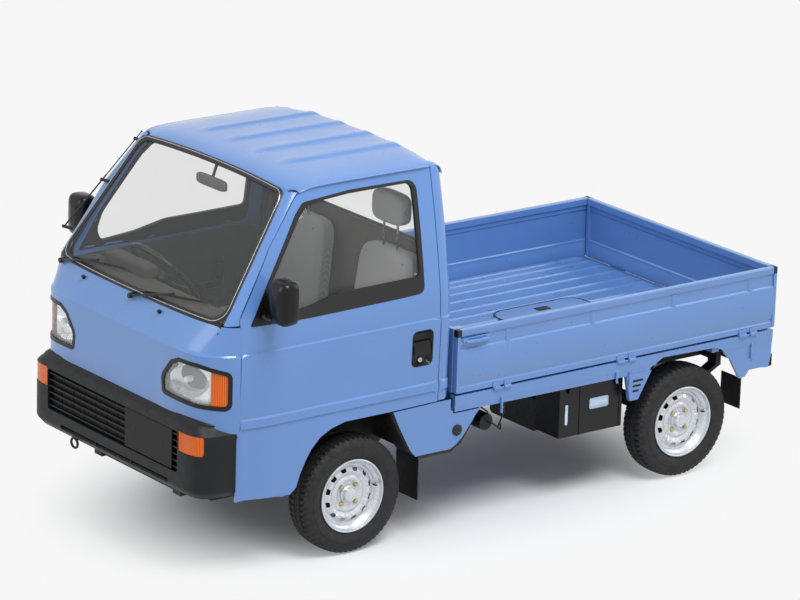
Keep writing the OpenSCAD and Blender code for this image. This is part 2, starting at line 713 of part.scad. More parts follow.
module rim() color(steel) rotate([0, 90, 0]) difference() {
    union() {
        rotate_extrude($fn = 96) polygon([[rim_d / 2 - 14, -58], [rim_d / 2, -58], [rim_d / 2, -53.3],
            [rim_d / 2 - 8, -52.3], [rim_d / 2 - 8, 52.3], [rim_d / 2, 53.3], [rim_d / 2, 58],
            [rim_d / 2 - 14, 58], [rim_d / 2 - 14, disc_x + 6], [118, disc_x + 20], [92, disc_x + 24],
            [82, disc_x + 8], [40, disc_x + 8], [34, disc_x + 26], [0, disc_x + 28], [0, disc_x - 36],
            [94, disc_x - 36], [94, disc_x], [rim_d / 2 - 14, disc_x]]);
        for (a = [45:90:315]) rotate([0, 0, a]) translate([nut_pcd / 2, 0, disc_x + 7])
            cylinder(r = 10, h = 14, $fn = 6);
    }
    for (i = [0:rim_slots - 1]) rotate([0, 0, i * 360 / rim_slots])
        translate([rim_d / 2 - 36, 0, disc_x - 10]) cylinder(r = 10, h = 60, $fn = 24);
}

module wheel_place(side, y) {
    translate([side * track / 2, y, axle_z])
        if (side > 0) children();
        else mirror([1, 0, 0]) children();
}

// The mudflaps behind the four wheels
module mudflaps() color(black) both_sides() {
    box(528, half_w - 7, wheelhouse_y, wheelhouse_y + 6, 190, sill_z);
    box(551, skirt_x, rear_axle_y + 320, rear_axle_y + 326, 280, 432);
}

lamp_x = [330, 590];
lamp_z = [462, 552];
module rear_bumper() color(black) {
    difference() {
        box(-620, 620, gate_rear_y - 60, gate_rear_y - 20, 440, 566);
        both_sides() tail_light();
        both_sides() translate([105, gate_rear_y - 70, 520]) rotate([-90, 0, 0]) cylinder(r = 3.5, h = 80);
    }
    both_sides() {
        box(600, 620, gate_rear_y - 21, gate_rear_y - 7, 455, 514);
        box(600, half_w - 20, gate_rear_y - 8, rear_y, 455, 514);
    }
}

module tail_light() box(lamp_x[0], lamp_x[1], gate_rear_y - 56, gate_rear_y - 4, lamp_z[0], lamp_z[1]);

module tail_lights() color("#c42a20") both_sides() tail_light();

module mirror_x() mirror([1, 0, 0]) children();

chassis_frame();
cab_floor();
front_panel();
windscreen_frame();
roof_panel();
cab_back_panel();
side_sills();
windscreen();
rear_window();
front_bumper();
front_grille();
headlights();
front_indicators();
wipers();
antenna();
dashboard();
seat_cushions();
seat_backs();
headrests();
interior_mirror();
bed_floor();
bed_frame();
bed_front_board();
battery_box();
fuel_tank();
engine_block();
exhaust();
rear_axle();
front_suspension();
mudflaps();
rear_bumper();
tail_lights();
left_door();
left_door_glass();
left_door_trim();
mirror_x() left_door();  // right_door
mirror_x() left_door_glass();  // right_door_glass
mirror_x() left_door_trim();  // right_door_trim
left_gate();
mirror_x() left_gate();  // right_gate
tailgate();
steering_wheel();
left_knuckle();
mirror_x() left_knuckle();  // right_knuckle
wheel_place(1, front_axle_y) tyre();  // front_left_tyre
wheel_place(1, front_axle_y) rim();  // front_left_rim
wheel_place(-1, front_axle_y) tyre();  // front_right_tyre
wheel_place(-1, front_axle_y) rim();  // front_right_rim
wheel_place(1, rear_axle_y) tyre();  // rear_left_tyre
wheel_place(1, rear_axle_y) rim();  // rear_left_rim
wheel_place(-1, rear_axle_y) tyre();  // rear_right_tyre
wheel_place(-1, rear_axle_y) rim();  // rear_right_rim
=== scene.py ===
from math import cos, hypot, pi, radians, sin
import bmesh
import bpy
from mathutils import Matrix, Vector
from mathutils.geometry import delaunay_2d_cdt


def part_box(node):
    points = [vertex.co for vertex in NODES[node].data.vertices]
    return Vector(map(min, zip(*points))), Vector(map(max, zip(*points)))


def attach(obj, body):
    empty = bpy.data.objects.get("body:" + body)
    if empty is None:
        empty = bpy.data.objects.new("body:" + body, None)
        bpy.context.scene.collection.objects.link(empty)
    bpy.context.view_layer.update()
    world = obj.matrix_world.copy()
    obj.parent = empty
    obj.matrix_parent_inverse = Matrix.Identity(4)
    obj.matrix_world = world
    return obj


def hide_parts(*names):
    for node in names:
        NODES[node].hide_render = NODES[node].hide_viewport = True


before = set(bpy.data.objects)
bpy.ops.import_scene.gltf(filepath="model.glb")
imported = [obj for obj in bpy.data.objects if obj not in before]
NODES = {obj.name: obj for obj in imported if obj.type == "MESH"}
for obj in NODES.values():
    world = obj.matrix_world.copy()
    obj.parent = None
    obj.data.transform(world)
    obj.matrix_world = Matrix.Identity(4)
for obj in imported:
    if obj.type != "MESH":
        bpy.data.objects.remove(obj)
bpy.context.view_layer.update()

# ---- places, in metres, from the frame --------------------------------------------------------

DOOR_LOW, DOOR_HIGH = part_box("left_door")
GATE_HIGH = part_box("left_gate")[1]
FLOOR_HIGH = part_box("bed_floor")[1]
TYRE_LOW, TYRE_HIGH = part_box("front_left_tyre")
REAR_TYRE_LOW, REAR_TYRE_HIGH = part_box("rear_left_tyre")
HALF_W = DOOR_HIGH.x
BACK_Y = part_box("cab_back_panel")[1].y
DOOR_FRONT_Y = DOOR_LOW.y
DOOR_REAR_Y = DOOR_HIGH.y
DOOR_GAP = 0.005
CREASE_Z = 1.022
LOW_CREASE_Z = 0.735
CREASE_ROWS = (CREASE_Z, 1.029, LOW_CREASE_Z, 0.727, 0.692, 0.686)
COWL_Z = 1.150
AXLE_Z = (TYRE_LOW.z + TYRE_HIGH.z) / 2
FRONT_AXLE_Y = (TYRE_LOW.y + TYRE_HIGH.y) / 2
REAR_AXLE_Y = (REAR_TYRE_LOW.y + REAR_TYRE_HIGH.y) / 2
WHEEL_X = (TYRE_LOW.x + TYRE_HIGH.x) / 2
TYRE_R = (TYRE_HIGH.z - TYRE_LOW.z) / 2
TYRE_W = TYRE_HIGH.x - TYRE_LOW.x
BED_Z = FLOOR_HIGH.z
GATE_Z = 0.652
GATE_TOP_Z = GATE_HIGH.z
GATE_T = 0.028
BED_FRONT_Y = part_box("bed_front_board")[0].y
GATE_REAR_Y = GATE_HIGH.y
CAB_CENTRE = Vector((0, -0.95, 1.0))
SIDE_NAME = {1: "left", -1: "right"}

# ---- small geometry helpers ---------------------------------------------------------------------


def smooth(table, key):
    """The value at key on a smooth curve through a table of (key, value) rows."""
    if key <= table[0][0]:
        return table[0][1]
    if key >= table[-1][0]:
        return table[-1][1]
    i = max(k for k in range(len(table) - 1) if table[k][0] <= key)

    def slope(k):
        if k == 0 or k == len(table) - 1:
            j = min(k, len(table) - 2)
            return (table[j + 1][1] - table[j][1]) / (table[j + 1][0] - table[j][0])
        d0 = (table[k][1] - table[k - 1][1]) / (table[k][0] - table[k - 1][0])
        d1 = (table[k + 1][1] - table[k][1]) / (table[k + 1][0] - table[k][0])
        return 0 if d0 * d1 <= 0 else 2 * d0 * d1 / (d0 + d1)

    h = table[i + 1][0] - table[i][0]
    t = (key - table[i][0]) / h
    a, b = table[i][1], table[i + 1][1]
    return (a * (1 + 2 * t) * (1 - t) ** 2 + b * t * t * (3 - 2 * t)
            + h * slope(i) * t * (1 - t) ** 2 - h * slope(i + 1) * t * t * (1 - t))


def linear(table, key):
    """The value at key on straight lines through a table of (key, value) rows."""
    if key <= table[0][0]:
        return table[0][1]
    for (k0, v0), (k1, v1) in zip(table, table[1:]):
        if key <= k1:
            return v0 + (v1 - v0) * (key - k0) / (k1 - k0)
    return table[-1][1]


def ease(t):
    t = min(max(t, 0), 1)
    return t * t * (3 - 2 * t)


def rounded(corners, segments=6):
    """A closed outline from (a, b, radius) corners, with an arc at each corner that has a radius."""
    points = []
    n = len(corners)
    for i, (a, b, r) in enumerate(corners):
        here = Vector((a, b))
        if r <= 0:
            points.append(here)
            continue
        before = (Vector(corners[i - 1][:2]) - here).normalized()
        after = (Vector(corners[(i + 1) % n][:2]) - here).normalized()
        half = before.angle(after) / 2
        reach = r / max(sin(half) / cos(half), 1e-6) if half < pi / 2 - 1e-4 else 0
        centre = here + (before + after).normalized() * (r / sin(half))
        start = here + before * reach - centre
        turn = start.angle_signed(here + after * reach - centre)
        for k in range(segments + 1):
            w = -turn * k / segments
            points.append(centre + Vector((start.x * cos(w) - start.y * sin(w),
                                           start.x * sin(w) + start.y * cos(w))))
    return points


def soft_outline(corners):
    """The outline with each corner cut by an arc no longer than its sides allow."""
    n = len(corners)
    safe = []
    for i, (a, b, r) in enumerate(corners):
        before = Vector(corners[i - 1][:2]) - Vector((a, b))
        after = Vector(corners[(i + 1) % n][:2]) - Vector((a, b))
        half = before.angle(after) / 2
        most = 0.45 * min(before.length, after.length) * abs(sin(half) / max(cos(half), 1e-4))
        safe.append((a, b, min(r, most)))
    return rounded(safe, 4)


def offset_outline(points, d):
    """The closed outline moved outwards by d."""
    n = len(points)
    area = sum(points[i].x * points[(i + 1) % n].y - points[(i + 1) % n].x * points[i].y for i in range(n))
    side = 1 if area > 0 else -1
    out = []
    for i in range(n):
        e0 = (points[i] - points[i - 1])
        e1 = (points[(i + 1) % n] - points[i])
        if e0.length < 1e-9 or e1.length < 1e-9:
            continue
        e0.normalize()
        e1.normalize()
        n0 = Vector((e0.y, -e0.x)) * side
        n1 = Vector((e1.y, -e1.x)) * side
        m = (n0 + n1).normalized()
        out.append(points[i] + m * d / max(m.dot(n0), 0.4))
    return out


def inside(p, outline):
    hit = False
    n = len(outline)
    for i in range(n):
        a, b = outline[i], outline[(i + 1) % n]
        if (a.y > p.y) != (b.y > p.y) and p.x < (b.x - a.x) * (p.y - a.y) / (b.y - a.y) + a.x:
            hit = not hit
    return hit


def near(p, outline, d):
    n = len(outline)
    for i in range(n):
        a, b = outline[i], outline[(i + 1) % n]
        ab = b - a
        t = min(max((p - a).dot(ab) / max(ab.length_squared, 1e-12), 0), 1)
        if (p - a - ab * t).length < d:
            return True
    return False


def divided(outline, step):
    out = []
    n = len(outline)
    for i in range(n):
        a, b = outline[i], outline[(i + 1) % n]
        k = max(1, int((b - a).length / step))
        out += [a.lerp(b, j / k) for j in range(k)]
    return out


# ---- making pieces --------------------------------------------------------------------------------


def piece(name, verts, faces, mats, body, slot=None, replaces=(), face_mats=None, sharp=35):
    mesh = bpy.data.meshes.new(name)
    mesh.from_pydata([tuple(v) for v in verts], [], faces)
    mesh.validate()
    for m in mats if isinstance(mats, (list, tuple)) else [mats]:
        mesh.materials.append(m)
    if face_mats:
        mesh.polygons.foreach_set("material_index", face_mats)
    mesh.polygons.foreach_set("use_smooth", [True] * len(mesh.polygons))
    mesh.set_sharp_from_angle(angle=radians(sharp))
    obj = bpy.data.objects.new(name, mesh)
    bpy.context.scene.collection.objects.link(obj)
    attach(obj, body)
    if replaces:
        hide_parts(*([replaces] if isinstance(replaces, str) else replaces))
    return obj


def bevelled(obj, width=0.002, segments=2, angle=30):
    mod = obj.modifiers.new("bevel", "BEVEL")
    mod.width = width
    mod.segments = segments
    mod.limit_method = "ANGLE"
    mod.angle_limit = radians(angle)
    mod.harden_normals = True
    return obj


def thick(obj, depth, inner=0, rim=0):
    mod = obj.modifiers.new("thickness", "SOLIDIFY")
    mod.thickness = depth
    mod.offset = -1
    mod.use_even_offset = False
    mod.material_offset = inner
    mod.material_offset_rim = rim
    return obj


def skin_mesh(outline, holes, surface, step, rows=(), columns=()):
    """Vertices and triangles of a sheet.

    It is a flat outline with holes, filled with a grid and laid on a surface.
    """
    outline = divided(outline, step)
    holes = [divided(h, step) for h in holes]
    verts, edges = [], []
    for loop in [outline] + holes:
        base = len(verts)
        verts += loop
        edges += [(base + i, base + (i + 1) % len(loop)) for i in range(len(loop))]
    low = Vector((min(p.x for p in outline), min(p.y for p in outline)))
    high = Vector((max(p.x for p in outline), max(p.y for p in outline)))

    def stations(a, b, extra):
        k = max(1, round((b - a) / step))
        plain = [a + (b - a) * i / k for i in range(1, k)]
        plain = [v for v in plain if all(abs(v - e) > 0.3 * step for e in extra)]
        return sorted(plain + [e for e in extra if a < e < b])

    for a in stations(low.x, high.x, columns):
        for b in stations(low.y, high.y, rows):
            p = Vector((a, b))
            if (inside(p, outline) and not near(p, outline, 0.35 * step)
                    and not any(inside(p, h) or near(p, h, 0.35 * step) for h in holes)):
                verts.append(p)
    vs, _, fs, *_ = delaunay_2d_cdt(verts, edges, [], 0, 1e-6)
    faces = []
    for f in fs:
        c = sum((vs[i] for i in f), Vector((0, 0))) / len(f)
        if inside(c, outline) and not any(inside(c, h) for h in holes):
            faces.append(tuple(f))
    return [surface(v.x, v.y) for v in vs], faces


def facing_out(verts, faces, centre):
    total = 0
    for f in faces:
        a, b, c = (Vector(verts[i]) for i in f[:3])
        total += (b - a).cross(c - a).dot((a + b + c) / 3 - centre)
    return faces if total > 0 else [tuple(reversed(f)) for f in faces]


def skin(name, outline, surface, mats, body, holes=(), step=0.03, depth=0.03, rows=(), columns=(),
         centre=CAB_CENTRE, bevel=0.002, inner=0, rim=0, **rest):
    verts, faces = skin_mesh(outline, holes, surface, step, rows, columns)
    obj = piece(name, verts, facing_out(verts, faces, centre), mats, body, **rest)
    if depth:
        thick(obj, depth, inner, rim)
    if bevel:
        bevelled(obj, bevel)
    return obj


def grid_faces(rows, columns, closed=False):
    faces = []
    for i in range(rows - 1):
        for j in range(columns if closed else columns - 1):
            k = (j + 1) % columns
            faces.append((i * columns + j, i * columns + k, (i + 1) * columns + k, (i + 1) * columns + j))
    return faces


def lathe(name, profile, place, mats, body, segments=96, shape=None, **rest):
    """A profile of (distance along the axis, radius) turned about X at place.

    shape(x, r, angle) may move its points.
    """
    verts = []
    for x, r in profile:
        for k in range(segments):
            w = 2 * pi * k / segments
            px, pr = shape(x, r, w) if shape else (x, r)
            verts.append((place[0] + px, place[1] + pr * cos(w), place[2] + pr * sin(w)))
    faces = grid_faces(len(profile), segments, closed=True)
    return piece(name, verts, faces, mats, body, **rest)


def boxes(cuboids, verts=None, faces=None):
    """Vertices and faces of cuboids, each given by its low and its high corner."""
    verts = [] if verts is None else verts
    faces = [] if faces is None else faces
    for low, high in cuboids:
        b = len(verts)
        verts += [(x, y, z) for x in (low[0], high[0])
                  for y in (low[1], high[1])
                  for z in (low[2], high[2])]
        faces += [(b, b + 1, b + 3, b + 2), (b + 4, b + 6, b + 7, b + 5), (b, b + 4, b + 5, b + 1),
                  (b + 2, b + 3, b + 7, b + 6), (b, b + 2, b + 6, b + 4), (b + 1, b + 5, b + 7, b + 3)]
    return verts, faces


def box_piece(name, cuboids, mats, body, bevel=0.002, **rest):
    verts, faces = boxes(cuboids)
    return bevelled(piece(name, verts, faces, mats, body, **rest), bevel)


def tube_mesh(path, radius, sides=10, closed=False, taper=None):
    """Vertices and faces of a round tube along a path, its ends closed."""
    path = [Vector(p) for p in path]
    n = len(path)
    verts, rings = [], []
    side = None
    for i, p in enumerate(path):
        a = path[(i - 1) % n] if closed or i > 0 else p
        b = path[(i + 1) % n] if closed or i < n - 1 else p
        along = (b - a).normalized()
        if side is None:
            side = along.orthogonal().normalized()
        side = (side - along * side.dot(along)).normalized()
        other = along.cross(side)
        r = radius if taper is None else radius * taper(i / (n - 1))
        rings.append(len(verts))
        verts += [p + (side * cos(w) + other * sin(w)) * r
                  for w in (2 * pi * k / sides for k in range(sides))]
    faces = []
    for i in range(n if closed else n - 1):
        a, b = rings[i], rings[(i + 1) % n]
        faces += [(a + k, a + (k + 1) % sides, b + (k + 1) % sides, b + k) for k in range(sides)]
    if not closed:
        faces += [tuple(reversed(range(rings[0], rings[0] + sides))),
                  tuple(range(rings[-1], rings[-1] + sides))]
    return verts, faces


def tubes(name, runs, mats, body, **rest):
    """One piece from several (path, radius) runs."""
    verts, faces = [], []
    for run in runs:
        v, f = tube_mesh(*run) if not isinstance(run, dict) else tube_mesh(**run)
        base = len(verts)
        verts += v
        faces += [tuple(base + i for i in face) for face in f]
    return piece(name, verts, faces, mats, body, **rest)


def joined(parts):
    """Vertices and faces of several (verts, faces) meshes as one."""
    verts, faces = [], []
    for v, f in parts:
        base = len(verts)
        verts += v
        faces += [tuple(base + i for i in face) for face in f]
    return verts, faces


def srgb(r, g, b):
    """A linear colour from display values of 0 to 255."""
    return tuple((c / 12.92 if c <= 0.04045 else ((c + 0.055) / 1.055) ** 2.4)
                 for c in (r / 255, g / 255, b / 255)) + (1,)


class Look:
    """A node material: a Principled shader with a mottled colour, uneven roughness and a fine bump."""

    def __init__(self, name, colour, rough, **sockets):
        self.mat = bpy.data.materials.new(name)
        self.mat.use_nodes = True
        self.tree = self.mat.node_tree
        self.shader = self.tree.nodes["Principled BSDF"]
        self.colour = colour
        self.rough = rough
        self.shader.inputs["Base Color"].default_value = colour
        self.shader.inputs["Roughness"].default_value = rough
        for key, value in sockets.items():
            self.shader.inputs[key.replace("_", " ")].default_value = value
        self.where = self.node("ShaderNodeTexCoord").outputs["Object"]

    def node(self, kind, **values):
        n = self.tree.nodes.new(kind)
        for key, value in values.items():
            if key in n.inputs:
                n.inputs[key].default_value = value
            else:
                setattr(n, key, value)
        return n

    def link(self, a, b):
        self.tree.links.new(a, b)

    def noise(self, scale, detail=4, rough=0.55, stretch=None):
        n = self.node("ShaderNodeTexNoise", Scale=scale, Detail=detail, Roughness=rough)
        self.link(self.stretched(stretch), n.inputs["Vector"])
        return n.outputs["Fac"]

    def stretched(self, stretch):
        if not stretch:
            return self.where
        m = self.node("ShaderNodeMapping")
        m.inputs["Scale"].default_value = stretch
        self.link(self.where, m.inputs["Vector"])
        return m.outputs["Vector"]

    def ranged(self, value, low, high, a=0.3, b=0.7):
        n = self.node("ShaderNodeMapRange")
        for i, v in enumerate((a, b, low, high), 1):
            n.inputs[i].default_value = v
        self.link(value, n.inputs[0])
        return n.outputs[0]

    def mottle(self, factor, dark=0.85, light=1.1):
        """The colour varies between a darker and a lighter form of itself."""
        ramp = self.node("ShaderNodeMix", data_type="RGBA")
        ramp.inputs[6].default_value = tuple(c * dark for c in self.colour[:3]) + (1,)
        ramp.inputs[7].default_value = tuple(min(c * light, 1) for c in self.colour[:3]) + (1,)
        self.link(factor, ramp.inputs[0])
        self.link(ramp.outputs[2], self.shader.inputs["Base Color"])
        return self

    def roughness(self, factor, low, high):
        self.link(self.ranged(factor, low, high), self.shader.inputs["Roughness"])
        return self

    def bump(self, height, strength, distance=0.001):
        n = self.node("ShaderNodeBump", Strength=strength, Distance=distance)
        self.link(height, n.inputs["Height"])
        previous = self.shader.inputs["Normal"].links
        if previous:
            self.link(previous[0].from_socket, n.inputs["Normal"])
        self.link(n.outputs["Normal"], self.shader.inputs["Normal"])
        return self

    def wave(self, scale, direction="X", kind="BANDS", distortion=0.0):
        n = self.node("ShaderNodeTexWave", Scale=scale, Distortion=distortion, wave_type=kind)
        if kind == "BANDS":
            n.bands_direction = direction
        self.link(self.where, n.inputs["Vector"])
        return n.outputs["Fac"]


def paint(name, colour, rough, coat):
    look = Look(name, colour, rough, Coat_Weight=coat, Coat_Roughness=0.12)
    look.mottle(look.ranged(look.noise(1.7, 2), 0, 1), 0.965, 1.035)
    look.roughness(look.noise(9, 6), rough * 0.85, rough * 1.25)
    return look.bump(look.noise(420, 2), 0.006, 0.0005).mat


def plastic(name, colour, rough, grain=900, strength=0.25, **sockets):
    look = Look(name, colour, rough, **sockets)
    look.mottle(look.ranged(look.noise(14, 5), 0, 1), 0.85, 1.15)
    look.roughness(look.noise(30, 5), rough * 0.85, min(rough * 1.2, 1))
    return look.bump(look.noise(grain, 3), strength, 0.0006).mat


def metal(name, colour, rough, scale=60, metallic=1.0, dents=0.08):
    look = Look(name, colour, rough, Metallic=metallic)
    look.mottle(look.ranged(look.noise(scale / 4, 5), 0, 1), 0.88, 1.08)
    look.roughness(look.noise(scale, 6), rough * 0.75, min(rough * 1.3, 1))
    return look.bump(look.noise(scale * 6, 3), dents, 0.0008).mat


def glass(name, colour, alpha, rough=0.02):
    look = Look(name, colour, rough, IOR=2.2, Alpha=alpha, Specular_IOR_Level=0.6)
    look.roughness(look.noise(3, 3), rough, rough * 2.5)
    look.mat.blend_method = "BLEND"
    return look.mat


def fabric(name, colour, dark, ribs=260):
    look = Look(name, colour, 0.85, Sheen_Weight=0.25, Sheen_Roughness=0.5)
    band = look.wave(ribs, "X")
    look.mottle(band, dark, 1.06)
    look.bump(band, 0.5, 0.0015)
    return look.bump(look.noise(1500, 2), 0.35, 0.0005).mat


def tyre_look():
    look = Look("tyre_rubber", srgb(21, 21, 23), 0.68)
    look.mottle(look.ranged(look.noise(22, 6), 0, 1), 0.75, 1.25)
    look.roughness(look.noise(40, 5), 0.6, 0.85)
    return look.bump(look.noise(700, 4), 0.3, 0.0008).mat


BLUE = paint("blue_paint", srgb(87, 129, 189), 0.32, 0.7)
BED_BLUE = paint("bed_paint", srgb(89, 130, 189), 0.30, 0.8)
BLACK = plastic("black_plastic", srgb(10, 10, 11), 0.30, strength=0.12, Specular_IOR_Level=0.35)
BUMPER = plastic("bumper_plastic", srgb(17, 18, 21), 0.50, grain=1400, strength=0.2, Specular_IOR_Level=0.3)
RUBBER = plastic("rubber_seal", srgb(12, 12, 13), 0.45, grain=500, strength=0.15)
GREY_TRIM = plastic("grey_trim", srgb(92, 90, 87), 0.75, grain=700, strength=0.12)
DARK_TRIM = plastic("dark_trim", srgb(54, 52, 50), 0.78, grain=700, strength=0.12)
LINER = plastic("roof_liner", srgb(196, 194, 188), 0.85, grain=1100, strength=0.15)
MAT = plastic("floor_mat", srgb(28, 28, 30), 0.85, grain=500, strength=0.15)
CHASSIS = metal("chassis_black", srgb(26, 26, 28), 0.55, metallic=0.2)
CAST = metal("cast_metal", srgb(95, 96, 98), 0.6, metallic=0.7, dents=0.5)
STEEL = metal("bright_steel", srgb(190, 192, 196), 0.28)
CHROME = metal("reflector_chrome", srgb(235, 236, 240), 0.08, dents=0.01)
SILVER = metal("wheel_silver", srgb(205, 209, 215), 0.32, scale=220, metallic=0.55, dents=0.05)
GLASS = glass("window_glass", srgb(150, 153, 150), 0.075)
PLATE = plastic("plate_black", srgb(5, 5, 6), 0.25, grain=200, strength=0.02, Specular_IOR_Level=0.2)
RED = plastic("red_lens", srgb(190, 24, 20), 0.16, grain=120, strength=0.05, Coat_Weight=0.6)
WHITE = plastic("white_plastic", srgb(226, 228, 230), 0.3, strength=0.1)
LABEL = plastic("blank_label", srgb(190, 212, 236), 0.35, strength=0.05)
SEAT = fabric("seat_cloth", srgb(206, 204, 204), 0.78)
TYRE = tyre_look()


def amber_ribbed():
    look = Look("amber_painted_rib_shade", srgb(226, 100, 2), 0.16, Coat_Weight=0.15, Coat_Roughness=0.05,
                Specular_IOR_Level=0.3)
    # the colour bands, darker and lighter across the ribs, are painted shade and highlight on the lens's
    # flutes
    look.mottle(look.wave(60, "X"), 0.55, 1.15)
    look.roughness(look.noise(20, 4), 0.10, 0.2)
    return look.bump(look.wave(60, "X"), 0.5, 0.0015).mat


AMBER_PAINTED_RIB_SHADE = amber_ribbed()
MIRROR_HEAD = plastic("mirror_black", srgb(6, 6, 7), 0.22, strength=0.04, Specular_IOR_Level=0.3)
REFLECTOR = metal("lamp_reflector", srgb(246, 248, 250), 0.18, scale=30, metallic=0.55, dents=0.02)

# ---- the cab's surfaces -----------------------------------------------------------------------------

HALF_WIDTH = [(0.300, 0.690), (0.640, 0.6925), (0.715, 0.6900), (0.950, 0.6965), (1.022, 0.6970),
              (1.095, 0.696), (1.229, 0.678), (1.339, 0.660), (1.468, 0.635), (1.553, 0.617),
              (1.625, 0.600), (1.680, 0.588), (1.720, 0.582)]
NOSE_ALONG = [0, 0.345, 0.479, 0.5616, 0.6221, 0.6717, 0.7214, 0.7614]
NOSE_LOW = [(0, -1.594), (0.345, -1.594), (0.479, -1.586), (0.560, -1.571), (0.612, -1.540),
            (0.647, -1.505), (0.672, -1.462), (0.686, -1.4245)]
NOSE_TOP = [(0, -1.518), (0.345, -1.514), (0.479, -1.508), (0.560, -1.500), (0.612, -1.489),
            (0.642, -1.475), (0.667, -1.450), (0.684, -1.4245)]


def table_of(points, axis):
    return [(u, p[axis]) for u, p in zip(NOSE_ALONG, points)]


def nose_line(points, along):
    """The point of the nose's lower or upper line that lies this far round from the middle."""
    return Vector((smooth(table_of(points, 0), along), smooth(table_of(points, 1), along)))


def nose(u, z, sink=0.0):
    """A point of the front panel: u runs round it from the middle, sink is the depth inside the surface."""
    side = 1 if u >= 0 else -1
    a = abs(u)
    low = nose_line(NOSE_LOW, a)
    top = nose_line(NOSE_TOP, a)
    t = min(max((z - CREASE_Z) / (COWL_Z - CREASE_Z), 0), 1)
    p = low.lerp(top, t)
    proud = 0.0050 * min(max((CREASE_Z + 0.007 - z) / 0.007, 0), 1)
    sink -= proud * ease((a - 0.30) / 0.25)
    if sink:
        ahead = nose_line(NOSE_LOW, a + 0.004) - nose_line(NOSE_LOW, a - 0.004)
        ahead.normalize()
        p += Vector((-ahead.y, ahead.x)) * sink
    return (side * p.x, p.y, z)


def side_crease(z):
    """How far the pressed lines stand proud of the side: a step at the crease and a band low on the door."""
    step = -0.0075 * min(max((z - CREASE_Z) / 0.007, 0), 1)
    ledge = 0.0070 * min(max((LOW_CREASE_Z - z) / 0.008, 0), 1)
    tuck = 0.0080 * min(max((0.692 - z) / 0.006, 0), 1)
    return step + ledge - tuck


def side_x(y, z):
    front = 0.011 * (1 - ease((y - DOOR_FRONT_Y) / 0.16))
    return smooth(HALF_WIDTH, z) - front + side_crease(z)


def screen_point(u, v):
    """A point of the windscreen's outer face: u is -1 to 1 across, v is 0 to 1 from the bottom to the top."""
    bow = 0.014 * u * u + 0.012 * u ** 6
    bottom = Vector((0.634 * u, -1.518 + bow + 0.010 * abs(u) ** 3, 1.152 + 0.004 * u * u))
    top = Vector((0.542 * u, -1.096 - 0.014 * u * u, 1.690 - 0.016 * u * u))
    p = bottom.lerp(top, v)
    p.y -= 0.006 * (1 - u * u) * 4 * v * (1 - v)
    return p


def screen_normal(u, v):
    du = screen_point(u + 0.01, v) - screen_point(u - 0.01, v)
    dv = screen_point(u, v + 0.01) - screen_point(u, v - 0.01)
    return du.cross(dv).normalized()


DOOR_SLOPE = [(1.186, -1.415), (1.252, -1.374), (1.462, -1.248), (1.608, -1.125), (1.646, -1.093),
              (1.671, -1.063)]


def build_front_panel():
    lamp = lamp_outline(0.0)
    other = [Vector((-p.x, p.y)) for p in reversed(lamp)]
    outline = [Vector(p) for p in [(-0.7614, 0.37), (-0.744, 0.37), (-0.744, 0.60), (0.744, 0.60),
                                   (0.744, 0.37), (0.7614, 0.37), (0.7614, COWL_Z)]]
    outline += [Vector((u, COWL_Z)) for u in (0.7214, 0.6717, 0.56, 0.4, 0.2, 0, -0.2, -0.4, -0.56, -0.6717,
                                              -0.7214)]
    outline += [Vector((-0.7614, COWL_Z))]
    skin("front_panel_skin", outline, nose, BLUE, "chassis", holes=[lamp, other], depth=0.006, step=0.022,
         rows=(CREASE_Z, 1.029), slot="body_paint", replaces="front_panel")


LAMP_CORNERS = [(0.350, 0.800, 0.022), (0.560, 0.792, 0.2), (0.724, 0.785, 0.030),
                (0.724, 0.952, 0.030), (0.640, 0.972, 0.1), (0.575, 0.986, 0.03),
                (0.462, 0.986, 0.03), (0.408, 0.962, 0.03), (0.352, 0.895, 0.03), (0.341, 0.868, 0.015)]


def lamp_outline(grow):
    return offset_outline(soft_outline(LAMP_CORNERS), grow)


def clipped(points, limit, below):
    """The part of a closed outline on one side of the line where its first coordinate is limit."""
    out = []
    n = len(points)
    for i in range(n):
        a, b = points[i], points[(i + 1) % n]
        keep_a, keep_b = (a.x < limit) == below, (b.x < limit) == below
        if keep_a:
            out.append(a)
        if keep_a != keep_b:
            out.append(a.lerp(b, (limit - a.x) / (b.x - a.x)))
    return out


